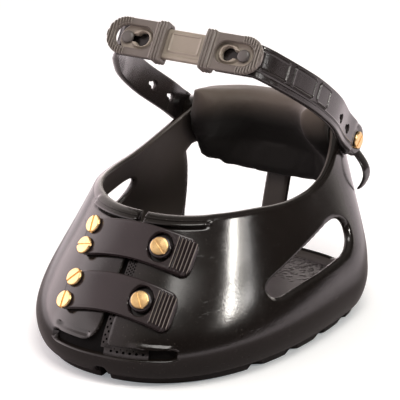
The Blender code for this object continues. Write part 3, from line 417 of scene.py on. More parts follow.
# %% [markdown]
# ## The wall of the shell
#
# The real shell is moulded in one piece, 3.8 mm thick, with round edges at its openings. The grid here
# runs round the foot and up the wall. The windows, the rear openings and the toe's slots are cuts, so
# each gets the rounded edge of `two_faced`. Near the rim the rows are stretched, so that the last row is
# the rim itself and needs no cut.

# %% Cuts in the wall
WALL_LOW, WALL_BREAK, FRONT_SPAN = 0.0036, 0.05, 0.015
WINDOW_LINE = curve_through(WINDOW_LOW + WINDOW * (WINDOW_HIGH - WINDOW_LOW), 5, closed=True)
SLOT_HALF, SLOT_LOW, SLOT_HIGH, SLOT_START, SLOT_END = 0.0015, 0.0138, 0.0178, -0.025, 0.0318
LEFT_FLARE, RIGHT_FLARE = 0.008, 0.0015
REAR_X, REAR_Z, REAR_BOX = 0.02525, 0.033, (0.01875, 0.021, 0.005)
NOTCH_BOX = (0.0026, 0.0064, 0.001)


def wall_height(angle, t):
    """Height of a chart row: t itself low down, then stretched so that the last row is the rim."""
    share = np.clip((t - WALL_BREAK) / FRONT_SPAN, 0, None)
    return np.minimum(t, WALL_BREAK) + share * (rim_height(angle) - WALL_BREAK)


def slot_right(z):
    """Right edge of the upright slot: wider where its strip shows, low down and between the straps."""
    between = smooth(z, 0.04, 0.042) * fall(z, 0.0495, 0.0515)
    return SLOT_HALF + 0.0017 * fall(z, 0.0325, 0.0345) + 0.0028 * between


def toe_slot_distance(x, z):
    """Distance from the upside-down T of the toe slots; its corners are hollow, the left one wide."""
    flare = np.where(x < 0, LEFT_FLARE, RIGHT_FLARE)
    across = np.where(x < 0, -x - SLOT_HALF, x - slot_right(z))
    middle = (SLOT_LOW + SLOT_HIGH) / 2
    level = box_distance(x - (SLOT_START + SLOT_END) / 2, z - middle, (SLOT_END - SLOT_START) / 2,
                         (SLOT_HIGH - SLOT_LOW) / 2, RIGHT_FLARE)
    upright = np.where(z > middle, across, 1.0)
    hollow = flare - np.hypot(flare - across, SLOT_HIGH + flare - z)
    in_corner = (across < flare) & (z < SLOT_HIGH + flare) & (z > middle)
    return np.where(in_corner, hollow, np.minimum(level, upright))


def wall_distance(angle, t):
    """Distance from the nearest cut or free edge of the wall; cuts at the toe and heel hold only there."""
    z = wall_height(angle, t)
    x, y, _ = np.moveaxis(foot_point(angle, z), -1, 0)
    out = np.minimum(z - WALL_LOW, rim_height(angle) - z)
    out = np.minimum(out, outline_distance(y, z, WINDOW_LINE))
    rear = box_distance(np.abs(x) - REAR_X, z - REAR_Z, *REAR_BOX)
    out = np.where(y > 0.056, np.minimum(out, rear), out)
    toe = np.minimum(box_distance(x, z, *NOTCH_BOX), toe_slot_distance(x, z) * 2.0)
    return np.where(y < -0.035, np.minimum(out, toe), out)


print("window, mm from low front to high rear:", np.round(WINDOW_LOW * 1000), np.round(WINDOW_HIGH * 1000))

# %% [markdown]
# ## The wall's relief
#
# The mould left a collar of two ridges over a groove along the front of the rim, a raised lip above the
# right half of the level slot, a groove above its left half and a short dash under it. A bump in the
# material would be quicker, but it leaves the outline flat. So they push the outer face out or in by
# about a millimetre. `COLLAR` lists a share of the rim's height and a push.

# %% Wall
COLLAR = np.array([(0.93, 0), (0.938, -1.0), (0.95, -1.0), (0.957, 1.3), (0.963, 1.9),
                   (0.972, 1.7), (0.979, 0.7), (0.986, 1.5), (0.994, 1.6), (1.0, 0.9)])
RELIEF_UNIT, COLLAR_FADE = 0.001, (0.0262, 0.0288)


def stripe(off, half, along, start, end, tall):
    """A line drawn on the wall: its height, where off is within half and along is from start to end."""
    return fall(np.abs(off), *half) * smooth(along, *start) * fall(along, *end) * tall


def wall_relief(p):
    """How far the outer face stands out: the collar's two ridges and groove, and the lines at the slots."""
    x, y, z = np.moveaxis(p, -1, 0)
    ridges = np.interp(z / RIM, *COLLAR.T) * ((y < 0) * fall(np.abs(x), *COLLAR_FADE))
    slope = z - 0.0194 + 0.056 * (x - 0.0175)
    lip = stripe(slope, (0.0007, 0.0011), x, (0.0125, 0.018), (0.03, 0.0306), 0.9)
    groove = stripe(z - 0.0208, (0.0006, 0.0011), -x, (0.005, 0.007), (0.0225, 0.0245), 0.9)
    dash = stripe(z - 0.0112, (0.0002, 0.0006), x, (0.0165, 0.0175), (0.0225, 0.0235), 0.5)
    return (ridges + (y < 0) * (lip - groove - dash)) * RELIEF_UNIT


def wall_faces(angle, t):
    """Outer and inner point of the wall; the relief pushes the outer one straight away from the middle."""
    z = wall_height(angle, t)
    outer, inner = foot_point(angle, z), foot_point(angle, z, WALL)
    flat = outer * (1, 1, 0)
    push = wall_relief(outer)[..., None] / np.linalg.norm(flat, axis=-1, keepdims=True)
    return outer + flat * push, inner


def wall_columns(pitch=0.00135, window=0.00068, toe=0.0008, slot=0.00042):
    """Angles of the columns, a pitch apart on the wall and closer at the windows, the toe and its slot.

    Length over pitch is summed round the wall, and a column stands at each whole number of the sum."""
    dense = np.linspace(-math.pi, math.pi, 24001)[:-1]
    p = foot_point(dense, np.full(dense.shape, 0.038))
    length = np.linalg.norm(np.diff(np.concatenate([p, p[:1]]), axis=0), axis=1)
    x, y = np.abs(p[:, 0]), p[:, 1]
    pitch = np.where((y > -0.029) & (y < 0.052), window, np.full(dense.shape, pitch))
    pitch = np.where((y < 0) & (x < 0.012), toe, pitch)
    pitch = np.where((y < 0) & (x < 0.0035), slot, pitch)
    steps = np.concatenate([[0], np.cumsum(length / pitch)])
    count = int(round(steps[-1]))
    return np.interp(np.arange(count) * steps[-1] / count, steps, np.append(dense, math.pi))


ROWS = np.concatenate([
    [0.0036, 0.0038, 0.0041, 0.0046, 0.0055, 0.0066, 0.008, 0.0086, 0.0089, 0.0095, 0.0098, 0.0108],
    lines((0.0118, 0.024, 0.00042), (0.0246, 0.028, 0.0012), (0.0284, 0.048, 0.00066)),
    [0.049, 0.05, 0.0515, 0.053, 0.0545, 0.056, 0.057, 0.058, 0.059],
    np.arange(0.06, 0.0647, 0.00031), [0.0648, 0.0649, 0.065]])
shell_wall = two_faced("shell_wall", wall_columns(), ROWS, wall_faces, wall_distance, 0.0017, wrap=True,
                       step=2e-4, angle=50, inner=1.0)

# %% [markdown]
# ## What lies in the toe slots
#
# Behind the slots the photograph shows two narrow strips with round holes, an upright one and a level
# one, and darkness round them. Holes drawn in a material would look flat, as nothing lies behind them. So
# each strip is a thin sheet with real holes, and a dark sheet deeper in the wall stands for the unlit
# inside. A hole is a place across, a height and a radius.

# %% Perforated strips
SHEET, STRIP_DEEP, BACKING_DEEP = 0.0009, 0.0012, 0.0024
UPRIGHT_HOLES = [(0.0013 + 0.0011 * (k % 2), 0.0192 + 0.00145 * k, 0.00047) for k in range(10)]
UPRIGHT_HOLES += [(0.0012 + 0.001 * i, 0.0418 + 0.0011 * k + 0.00055 * (i % 2), 0.00032)
                  for i in range(4) for k in range(8)]
LEVEL_HOLES = [(0.0055 + 0.0029 * k, 0.016, 0.00062) for k in range(6)]
LEVEL_HOLES += [(0.007 + 0.0029 * k, 0.0172, 0.0003) for k in range(4)]


def backed(x, z):
    """Distance inside the upside-down T that backs the slots."""
    return np.maximum(0.0192 - z, np.minimum(x + 0.01, 0.0064 - x))


def strip(name, x_lines, z_lines, holes, depth=STRIP_DEEP):
    """A thin sheet set in the toe slots, that deep under the outer face, with round holes through it."""
    def faces_at(x, z):
        wall, out = front_wall(x, z), front_normal(x, z)
        return wall - out * depth, wall - out * (depth + SHEET)

    def distance(x, z):
        edge = np.min([x - x_lines[0], x_lines[-1] - x, z - z_lines[0], z_lines[-1] - z], axis=0)
        gap = [np.hypot(x - hole_x, z - hole_z) - radius for hole_x, hole_z, radius in holes]
        return np.minimum(edge, np.min(gap, axis=0) if gap else backed(x, z))

    two_faced(name, x_lines, z_lines, faces_at, distance, 0, step=1e-5)


strip("upright_strip", np.arange(0.0003, 0.006, 0.00014), np.arange(0.017, 0.052, 0.00014), UPRIGHT_HOLES)
strip("level_strip", np.arange(0.002, 0.0222, 0.0002), np.arange(0.0128, 0.0188, 0.00015), LEVEL_HOLES)
strip("slot_backing", np.arange(-0.0262, 0.0331, 0.0007), np.arange(0.0128, 0.052, 0.0004), [],
      BACKING_DEEP)

# %% [markdown]
# ## The sole
#
# Under the wall sits a tread of separate lugs, set in from the wall's edge. The lugs could be blocks on a
# plate; one sheet with a stepped lower face stays a single closed mesh. Its chart is sheared so that the
# grooves between the lugs run along grid lines: v = y - tan(14 degrees) (|x| - 20 mm). The sides stay
# upright. A flat pad at each wing carries the pivot; it is moulded on, so it is made here too.

# %% Sole
SLANT, SLANT_FROM, TREAD_DEEP, TREAD_Y = math.tan(math.radians(14)), 0.02, 0.0045, 0.034
LUG_PITCH, LUG_START, GROOVE_TOP, GROOVE_FLOOR = 0.021, -0.042, 0.00438, 0.00218


def oval_distance(x, y, z, inset):
    """Distance along a ray from the oval's middle to its outline: |p| (1 / f - 1)."""
    half, toe, heel, wide, power = section(np.full(np.shape(x), z))
    along = y - wide
    power = np.where(along < 0, TOE_POWER, power)
    reach = np.where(along < 0, wide - toe - inset, heel - inset - wide)
    f = ((np.abs(x) / (half - inset)) ** power + (np.abs(along) / reach) ** power) ** (1 / power)
    return np.hypot(x, along) * (1 / np.maximum(f, 1e-4) - 1)


def sole_plane(s, v):
    """Place in plan of a point of the sheared chart."""
    return s, v + SLANT * (np.abs(s) - SLANT_FROM)


def sole_faces(s, v):
    """Inner floor above, and below it the tread: its height is the greatest of the grooves between lugs,
    the middle channel and the edge's chamfer, and it draws in by up to 4 percent towards the edge."""
    x, y = sole_plane(s, v)
    row = (v - LUG_START) / LUG_PITCH
    off = np.abs(row - np.clip(np.round(row), 0, 4)) * LUG_PITCH
    groove = np.clip((GROOVE_TOP - off) / 0.0022, 0, 1) * smooth(np.abs(x), 0.0198, 0.0206)
    channel = np.clip((0.0025 - np.abs(x)) / 0.0012, 0, 1) * smooth(np.abs(y), 0.0325, 0.0335)
    edge = oval_distance(x, y, 0.0045, 0.0004)
    chamfer = np.clip(1 - edge / 0.0012, 0, 1) * 0.0006
    low = np.maximum(np.maximum(groove, channel) * TREAD_DEEP, chamfer)
    draw = 1 - 0.04 * smooth(-edge, -0.012, 0) * (1 - low / TREAD_DEEP)
    below = np.stack([x * draw, TREAD_Y + (y - TREAD_Y) * draw, low], -1)
    return np.stack([x, y, np.full(x.shape, FLOOR)], -1), below


def sole_distance(s, v):
    """Distance inside the sole's outline."""
    x, y = sole_plane(s, v)
    notch = box_distance(x, y + 0.078, 0.0024, 0.012, 0.001)
    return np.minimum(oval_distance(x, y, 0.0046, 0.0006), notch)


across = np.concatenate([[0.0, 0.0013, 0.0025, 0.004, 0.008, 0.013, 0.0175, 0.0198, 0.0202, 0.0206, 0.0225],
                         lines((0.0245, 0.07, 0.0016))])
edges = (LUG_START + LUG_PITCH * np.arange(-2, 7)[:, None]
         + np.array([-GROOVE_TOP, -GROOVE_FLOOR, GROOVE_FLOOR, GROOVE_TOP])).ravel()
between = np.arange(-0.096, 0.104, 0.0025)
between = between[np.abs(between[:, None] - edges).min(1) > 0.0008]
two_faced("sole", mirrored(across), np.sort(np.concatenate([edges, between])),
          sole_faces, sole_distance, 0, step=1e-4, angle=25)
PAD = [(0, -0.0095), (0.0064, -0.0095), (0.007, -0.009), (0.0072, -0.008),
       (0.0072, -0.0009), (0.0069, -0.0003), (0.0063, 0), (0, 0)]
for side, word in SIDES:
    lathe(f"{word}_pivot_pad", [(radius, PIVOT_FACE + lift) for radius, lift in PAD], pivot_place(side))
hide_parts("boot_shell")
MOULDED = "shell_wall upright_strip level_strip slot_backing sole left_pivot_pad right_pivot_pad"
PIECES = {name: ("boot", "shell") for name in MOULDED.split()}

# %% [markdown]
# ## The toe straps
#
# Each strap is one rubber moulding: a plate with two screws at its left end, a round hole that hooks over
# a collar, and six grip ribs at its free end. Its ends hang a little lower than its middle. A flat strip
# could be wrapped onto the wall by a modifier; here each point is put there by the wall's formula, so the
# gap under the strap is even.

# %% Toe straps
BUTTON_X, BUTTON_HOLE, SAG, SAG_X = 0.0133, 0.005, 0.0045, 0.0245
PLATE_X, PLATE_HALF, PLATE_ROUND = 0.00165, 0.02615, 0.004
RIB_START, RIB_PITCH, RIB_COUNT, RIB_TALL = 0.0188, 0.0014, 6, 0.001
BEND_START, BEND_END = -0.011, -0.0052


def strap_middle(height, x):
    """Height of a strap's middle line: it sags with the square of the place across."""
    return height - SAG * (x / SAG_X) ** 2


def strap_point(height, x, v):
    """Wall point and outward direction under a strap's place (x across, v up from its middle line)."""
    z = strap_middle(height, x) + v
    return front_wall(x, z), front_normal(x, z)


def toe_strap(name, height):
    """Make one toe strap with rounded corners and button hole; a rib is (1 - cos(2 pi turn)) / 2 high."""
    def distance(x, v):
        plate = -box_distance(x - PLATE_X, v, PLATE_HALF, STRAP_HALF, PLATE_ROUND)
        return np.minimum(plate, np.hypot(x - BUTTON_X, v) - BUTTON_HOLE)

    def relief(x, v):
        turn = (x - RIB_START) / RIB_PITCH
        rib = (0.5 - 0.5 * np.cos(2 * math.pi * turn)) * (turn > 0) * (turn < RIB_COUNT)
        ribs = rib * fall(np.abs(v), 0.0054, 0.0058) * RIB_TALL
        return ribs - 0.0001 * smooth(distance(x, v), 0.0006, 0.0011)

    def faces_at(x, v):
        wall, out = strap_point(height, x, v)
        return wall + out * (FIT + STRAP_THICK + relief(x, v))[..., None], wall + out * FIT

    x_lines = lines((-0.0249, -0.0205, 0.00035), (-0.0204, 0.006, 0.0009), (0.0064, 0.0184, 0.0004),
                    (0.0187, 0.0282, 0.00023))
    v_lines = lines((-0.0072, -0.005, 0.0003), (-0.005, 0.0051, 0.0005), (0.0052, 0.0073, 0.0003))
    piece = two_faced(name, x_lines, v_lines, faces_at, distance, 0.0008)
    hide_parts(name + "_anchor", name + "_flap")
    start, end = (strap_point(height, np.array(x), np.array(0.0))[0] for x in (BEND_START, BEND_END))
    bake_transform(piece)
    return piece


toe_straps = [toe_strap("upper_toe_strap", UPPER_STRAP), toe_strap("lower_toe_strap", LOWER_STRAP)]

# %% [markdown]
# ## Brass heads
#
# Low binding screws of turned brass: a flat disc with a rolled edge and one slot. The disc could be
# turned and its slot cut by a boolean; here it is a two-faced sheet with grid lines along the slot, so
# that the slot's walls are crisp. The shank goes down to its nut. Each slot is turned as in the
# photograph, because a real screw stops where it is tight. A rubber collar sits under a button.

# %% Screws and collars
HEAD, HEAD_TALL, SLOT_WIDE, SLOT_DEEP, SHANK = 0.0041, 0.0013, 0.00095, 0.00065, 0.0018
COLLAR_SHAPE = [(0.0021, 0.0003), (0.0049, 0.0003), (0.0049, 0.0027), (0.0048, 0.0029), (0.0046, 0.0031),
                (0.0044, 0.0032), (0.004, 0.00335), (0.0021, 0.00335)]
STRAP_SEAT, BUTTON_SEAT, TOE_SHANK_END, PIVOT_SHANK_END = 0.0032, 0.0035, -0.006, 0.0315


def brass_screw(name, place, seat, reach, turn):
    """Make a slotted screw on a placing matrix: head from the seat outward, shank inward to reach.

    The head's height drops by a tenth of r^2, and rolls off over the last part of its radius."""
    turned = np.array(place @ Matrix.Rotation(turn, 4, "Z"))

    def distance(s, t):
        return HEAD - np.hypot(s, t)

    def faces_at(s, t):
        r = np.hypot(s, t) / HEAD
        dome = HEAD_TALL * (1 - 0.1 * r ** 2 - 0.2 * smooth(r, 0.86, 1.0))
        slot = fall(np.abs(s), SLOT_WIDE * 0.42, SLOT_WIDE * 0.56)
        top = np.stack([s, t, seat + dome - SLOT_DEEP * slot], -1)
        return moved(top, turned), moved(np.stack([s, t, np.full(s.shape, seat)], -1), turned)

    fine = np.array([0.3, 0.4, 0.44, 0.5, 0.56, 0.66, 0.9]) * SLOT_WIDE
    s_lines = np.concatenate([fine, np.arange(0.0011, 0.0043, 0.00022)])
    s_lines = np.concatenate([-s_lines[::-1], [0.0], s_lines])
    t_lines = np.concatenate([np.linspace(-0.0042, -0.0034, 5)[:-1], np.linspace(-0.0034, 0.0034, 21),
                              np.linspace(0.0034, 0.0042, 5)[1:]])
    shank = turned_rings([(1e-5, reach), (SHANK, reach), (SHANK, seat + 0.0004), (1e-5, seat + 0.0004)], 20)
    piece = two_faced(name, s_lines, t_lines, faces_at, distance, 0.00035, step=1e-5, angle=50,
                      extra=(moved(shank.reshape(-1, 3), turned), ring_faces(4, 20, False)))
    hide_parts(name)
    PIECES[piece.name] = ("boot", "brass")


SCREW_ROWS = (("upper", UPPER_STRAP, (0.4, -1.2, 0.7)), ("lower", LOWER_STRAP, (-0.55, 0.3, 0.45)))
for strap, height, turns in SCREW_ROWS:
    middle, node = strap_middle(height, 0.0207), f"{strap}_button_collar"
    button = wall_place(BUTTON_X, strap_middle(height, BUTTON_X))
    rows = (("strap_top", wall_place(-0.0202, middle + 0.004), STRAP_SEAT),
            ("strap_bottom", wall_place(-0.0212, middle - 0.004), STRAP_SEAT),
            ("button", button, BUTTON_SEAT))
    for (which, place, seat), turn in zip(rows, turns):
        brass_screw(f"{strap}_{which}_screw", place, seat, TOE_SHANK_END, turn)
    collar = lathe(node, COLLAR_SHAPE, button)
    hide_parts(node)
    PIECES[collar.name] = ("boot", "toe_strap")
for side, word in SIDES:
    seat = PIVOT_FACE + FIT + BAND_THICK + 0.0004
    brass_screw(f"{word}_pivot_screw", pivot_place(side), seat, PIVOT_SHANK_END, 0.6)

# %% [markdown]
# ## The pastern loop
#
# The loop has its own frame: X across, -Y forward, Z along the straps' width, tilted 36.2 degrees about
# the two pivots. A side strap is a band swept along its path, as the rubber bends round the pastern:
# straight up from the pivot, bowed out at the sides, and round to the front, where its tip lies behind
# the centre strap. A curve object with a flat bevel could draw the band, but not its keyholes and panels.

# %% Path of a side strap
LOOP = np.array(Matrix.Translation(Vector(PIVOT)) @ Matrix.Rotation(-TILT, 4, "X"))
SIDE_LINE = np.array([(0.93, 0.19), (1.0, 0.38), (1.0, 0.52), (0.965, 0.64), (0.895, 0.745), (0.825, 0.83),
                      (0.757, 0.907), (0.69, 0.957)])
BAND_X = PIVOT_FACE + FIT + BAND_THICK / 2
TIP_Y = LOOP_REACH - CENTRE_THICK - FIT - BAND_THICK / 2
PATH = np.concatenate([[(BAND_X, 0.0), (BAND_X, 0.00375), (BAND_X + 0.00076, 0.0075)],
                       SIDE_LINE * (LOOP_HALF, LOOP_REACH), [(0.0318, TIP_Y)]])
PATH = np.concatenate([[(BAND_X, 0.0)], curve_through(PATH, 12)[1:], [(0.015, TIP_Y)]])
PATH_LENGTH = np.concatenate([[0], np.cumsum(np.linalg.norm(np.diff(PATH, axis=0), axis=1))])
PATH_END, PROBE = PATH_LENGTH[-1], 0.0015
print("side strap, mm from pivot to tip:", round(PATH_END * 1000, 1))


def path_at(s):
    """Point and outward direction of the side path at a distance forward of the pivot.

    The direction is the step from a little before to a little after, turned by a right angle."""
    def place(s):
        x, y = (np.interp(s, PATH_LENGTH, PATH[:, k]) for k in (0, 1))
        return x, y + np.minimum(s, 0)

    (x_back, y_back), (x_on, y_on) = place(s - PROBE), place(s + PROBE)
    out = np.stack([y_on - y_back, -(x_on - x_back)], -1)
    return *place(s), out / np.maximum(np.linalg.norm(out, axis=-1, keepdims=True), 1e-9)


# %% [markdown]
# ## Side straps
#
# The chart of a side strap is s, the distance forward of the pivot, and w, the place across its width.
# Lips, panels and keyholes are drawn in that chart, because they are plain boxes and circles there. The
# keyholes let the wearer choose the loop's length. Behind the pivot hangs a free tail, a narrow ribbed
# tongue that a hand pulls on.

# %% Side straps
KEYHOLES, KEY_ROUND, KEY_SLOT = (0.017, 0.033), 0.0019, (0.0021, 0.00075, 0.0007)
PANELS = ((0.0545, 0.0655), (0.068, 0.084), (0.087, 0.104))
PANEL_W, PANEL_HALF, PANEL_ROUND = 0.0013, 0.0047, 0.0016
TAIL_START, TAIL_LONG, TAIL_OVAL = 0.00375, 0.0185, (0.0008, 0.003)


def side_distance(s, w):
    """Distance from the band's edge: straight sides, a round end behind the pivot, and its keyholes."""
    edge = np.minimum(BAND_HALF - np.hypot(np.minimum(s, 0), w), PATH_END - s)
    for at in KEYHOLES:
        key = np.minimum(np.hypot(s - at, w) - KEY_ROUND, box_distance(s - at - KEY_SLOT[0], w, *KEY_SLOT))
        edge = np.minimum(edge, key * 1.6)
    return edge


def side_relief(s, w):
    """Lip along the lower edge, a fine line above it, and the raised rounded panels of the front half."""
    lip = 0.0006 * fall(w, -0.0052, -0.0046) * smooth(s, 0.002, 0.006)
    lip = lip * fall(s, 0.092, 0.098)
    line = 0.0003 * np.exp(-((w + 0.0039) / 0.0003) ** 2) * smooth(s, 0.006, 0.01)
    panels = 0.0
    for low, high in PANELS:
        out = box_distance(s - (low + high) / 2, w - PANEL_W, (high - low) / 2, PANEL_HALF, PANEL_ROUND)
        panels = panels + 0.0006 * smooth(out, -0.0011, -0.0007) * fall(out, -0.0004, 0.0)
        panels = panels + 0.0002 * fall(out, -0.0011, -0.0007)
    return lip + line + panels + 0.0003 * fall(np.hypot(s, w), 0.006, 0.0066)


def side_strap(side, word):
    """Make one side strap: the band's two faces lie half its thickness to each side of the path."""
    def faces_at(s, w):
        x, y, out = path_at(s)
        shift = LOOP_SHIFT * np.maximum(y, 0) / TIP_Y
        lifts = (BAND_THICK / 2 + side_relief(s, w), np.full(s.shape, -BAND_THICK / 2))
        plans = [(side * (x + out[..., 0] * lift) + shift, -(y + out[..., 1] * lift)) for lift in lifts]
        return [moved(np.stack([*plan, w], -1), LOOP) for plan in plans]

    s_lines = np.concatenate([np.linspace(-0.0078, 0.0, 14)[:-1], np.arange(0, PATH_END - 0.0013, 0.00048),
                              PATH_END - np.array([0.001, 0.0006, 0.0003, 0.0001, 0.0])])
    w_lines = lines((-0.0076, -0.006, 0.00025), (-0.0059, 0.006, 0.00034), (0.0061, 0.0077, 0.00025))
    strap = two_faced(f"{word}_side_strap", s_lines, w_lines, faces_at, side_distance, 0.0007,
                      flip=side > 0)
    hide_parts(f"{word}_side_strap")
    PIECES[strap.name] = ("pastern_loop", "pastern_strap")


def oval_ring(angle, power, half_x, half_y):
    """Points of a squarish oval: half |cos a|^p and half |sin a|^p with their signs."""
    waves = ((half_x, np.cos(angle)), (half_y, np.sin(angle)))
    return [half * np.sign(wave) * np.abs(wave) ** power for half, wave in waves]


def strap_tail(side, word):
    """Make the free tail: it bows outward by 4.8 mm sin(pi t), hangs down and is ribbed low down."""
    t = np.linspace(0, 1, 24)[:, None]
    u, v = oval_ring(np.linspace(0, 2 * math.pi, 28, endpoint=False), 0.6, *TAIL_OVAL)
    taper = np.sqrt(np.clip(1 - ((t - 0.94) / 0.06).clip(0) ** 2, 0.02, 1))
    ribs = 1 + 0.1 * np.cos(2 * math.pi * t * 9) * smooth(t, 0.35, 0.45)
    x = BAND_X + 0.0026 * t + 0.0048 * np.sin(math.pi * t) + u * (taper * ribs)
    y = TAIL_START + math.sin(TILT) * TAIL_LONG * t + math.cos(TILT) * v * taper
    z = -TAIL_START - math.cos(TILT) * TAIL_LONG * t + math.sin(TILT) * v * taper
    tail = skin(f"{word}_strap_tail", moved(np.stack([side * x, y, z], -1), LOOP), flip=side < 0)
    PIECES[tail.name] = ("pastern_loop", "pastern_strap")


for side, word in SIDES:
    side_strap(side, word)
    strap_tail(side, word)

# %% [markdown]
# ## Centre strap and studs
#
# The centre strap is a paler bar with round ends, moulded like the rest. Each end has a raised boss with
# a keyhole; the stud of the side strap sits in the keyhole's narrow part. The bar could be an extruded
# curve, but its front is full of relief, so it is a sheet with a height at each point. It stands in one
# plane of the loop, and `loop_faces` carries charts of x and w there. A stud is turned from a profile:
# cap, neck and foot.

# %% Centre strap and studs
BAR_HALF, BAR_END, BOSS_X, STUD_X = 0.0069, 0.0256, 0.0215, 0.0285
BAR_HOLE, BAR_SLOT = (0.0211, 0.0031), (0.0248, 0.0052, 0.0015, 0.0014)


def loop_faces(x, w, front, back):
    """Two faces of a piece that stands in the loop's front plane, at two distances forward."""
    return tuple(moved(np.stack([x + LOOP_SHIFT, -(face + 0 * x), w], -1), LOOP) for face in (front, back))


def centre_distance(x, w):
    """Distance from the bar's edge and from its two keyholes."""
    x = np.abs(x)
    bar = BAR_HALF - np.hypot(np.maximum(x - BAR_END, 0), w)
    slot = box_distance(x - BAR_SLOT[0], w, *BAR_SLOT[1:])
    return np.minimum(bar, np.minimum(np.hypot(x - BAR_HOLE[0], w) - BAR_HOLE[1], slot) * 1.4)


def centre_front(x, w):
    """Front face of the bar: bosses at the ends, a panel with a rim in the middle, and a lower lip."""
    boss = box_distance(np.abs(x) - BOSS_X, w, 0.005, 0.0042, 0.0041)
    boss = 0.0012 * fall(boss, -0.0006, 0.0003)
    out = box_distance(x + 0.0005, w - 0.001, 0.0078, 0.0046, 0.0012)
    rim = 0.0005 * fall(out, -0.0003, 0.0) - 0.0004 * fall(out, -0.0012, -0.0009)
    lip = 0.0005 * fall(w, -0.0052, -0.0048)
    return LOOP_REACH + boss + rim + lip


x_lines = mirrored(lines((0.0, 0.014, 0.00045), (0.0142, 0.0327, 0.0003)))
centre = two_faced("centre_strap", x_lines, np.arange(-0.007, 0.00701, 0.0003),
                   lambda x, w: loop_faces(x, w, centre_front(x, w), LOOP_REACH - CENTRE_THICK),
                   centre_distance, 0.0007)
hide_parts("centre_strap")
PIECES[centre.name] = ("pastern_loop", "centre_strap")
outer, inner = LOOP_REACH + FIT, LOOP_REACH - CENTRE_THICK - 2 * FIT - BAND_THICK
STUD = [(0, inner - 0.001), (0.0029, inner - 0.001), (0.0032, inner - 0.0006), (0.0032, inner),
        (0.0012, inner), (0.0012, outer), (0.0027, outer), (0.0029, outer + 0.0003),
        (0.00285, outer + 0.0007), (0.0025, outer + 0.0011), (0.0018, outer + 0.00128),
        (0.0009, outer + 0.00138), (0, outer + 0.0014)]
for side, word in SIDES:
    place = Matrix.Translation((LOOP_SHIFT + side * STUD_X, 0, 0)) @ Matrix.Rotation(math.pi / 2, 4, "X")
    stud = lathe(f"{word}_strap_stud", STUD, Matrix(LOOP) @ place)
    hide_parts(f"{word}_strap_stud")
    PIECES[stud.name] = ("pastern_loop", "pastern_strap")

# %% [markdown]
# ## Lock rings
#
# A lock ring slides over each end of the bar: a flat ring with fan-like grip ribs round its outer end, a
# lip round its long hole, and a short ribbed sleeve, the keeper, that wraps the bar. Pushed over the stud
# it keeps the strap in its keyhole. The keeper is hollow, so a sheet won't do: its rings are squarish
# ovals that go along the outside, turn in and come back inside, where the last joins the first.

# %% Lock rings
RING_FRONT, RING_BACK = LOOP_REACH + 0.0033, LOOP_REACH + 0.0003
RING_HALF, RING_START, RING_END = 0.0086, 0.0095, 0.038
HOLE_X, HOLE_HALF, HOLE_ROUND = 0.02465, 0.00415, 0.005
GRIP_PITCH, KEEPER_PITCH, KEEPER_RIBS, KEEPER_LONG = 0.00128, 0.00144, 5, 0.0045


def keeper_rib(x):
    """Ribs across the keeper, slightly rounded: |sin(pi turn)| over the first five turns."""
    turn = (x - RING_START) / KEEPER_PITCH
    return 0.0005 * np.sqrt(np.clip(np.sin(math.pi * np.clip(turn, 0, KEEPER_RIBS)) ** 2, 0, 1))


def ring_hole(x, w):
    """Distance outward from the ring's long hole."""
    return np.hypot(np.maximum(np.abs(x - HOLE_X) - HOLE_HALF, 0), w) - HOLE_ROUND


def ring_distance(x, w):
    """Distance from the ring's outline, square at the keeper and round at the far end, and its hole."""
    out = RING_HALF - np.hypot(np.maximum(x - (RING_END - RING_HALF), 0), w)
    return np.minimum(np.minimum(out, x - RING_START - 0.0012), ring_hole(x, w))


def ring_front(x, w):
    """Front face: fan ribs round the outer end, a raised lip round the hole, and the keeper's last ribs."""
    hole = ring_hole(x, w)
    ribs = np.clip(0.5 + 0.9 * np.cos(2 * math.pi * (x - RING_END) / GRIP_PITCH), 0, 1)
    ribs = ribs * smooth(x, 0.027, 0.0276) * smooth(hole, 0.0008, 0.0011)
    lip = 0.0004 * fall(hole, 0.0004, 0.0009)
    return RING_FRONT - 0.0008 + 0.0008 * ribs + lip + keeper_rib(x) * (x < 0.0152)


def keeper(side, around=120):
    """Points and faces of the keeper: rings of a squarish oval, deep at the ribs and thin inside."""
    along, back = np.linspace(0, KEEPER_LONG, 37), np.array([0.0045, 0.0042, 0.0022, 0.0003, 0.0])
    edge = np.clip((np.abs(along - KEEPER_LONG / 2) - 0.0019) / 0.00035, 0, 1)
    deep = 1 - 0.2 * (1 - np.sqrt(1 - edge ** 2 * 0.99))
    deep = np.concatenate([deep, [0.3, 0.0, 0.0, 0.0, 0.3]])[:, None]
    x = RING_START + np.concatenate([along, back])[:, None]
    u, v = oval_ring(np.linspace(0, 2 * math.pi, around, endpoint=False), 0.28, 1, 1)
    y = LOOP_REACH - 0.0012 + 0.0007 * deep + (0.0015 + 0.0023 * deep) * u
    w = (0.0072 + 0.0016 * deep) * v
    rib = keeper_rib(x) * (deep > 0.7)
    y = y + 1.3 * rib * smooth(y, LOOP_REACH + 0.0012, LOOP_REACH + 0.0022)
    w = w + 0.7 * rib * np.sign(w) * smooth(np.abs(w), 0.007, 0.008)
    points = moved(np.stack(np.broadcast_arrays(side * x + LOOP_SHIFT, -y, w), -1), LOOP)
    return points.reshape(-1, 3), ring_faces(len(x), around, True)[:, ::side]


x_lines = lines((0.0105, 0.017, 0.00018), (0.0171, 0.0276, 0.00027), (0.0277, 0.0382, 0.00016))
for side, word in SIDES:
    ring = two_faced(f"{word}_lock_ring", x_lines, np.arange(-0.00864, 0.00865, 0.00027),
                     lambda x, w: loop_faces(side * x, w, ring_front(x, w), RING_BACK), ring_distance,
                     0.0007, flip=side < 0, extra=keeper(side))
    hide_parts(f"{word}_lock_ring")
    PIECES[ring.name] = (f"{word}_lock", "lock_ring")

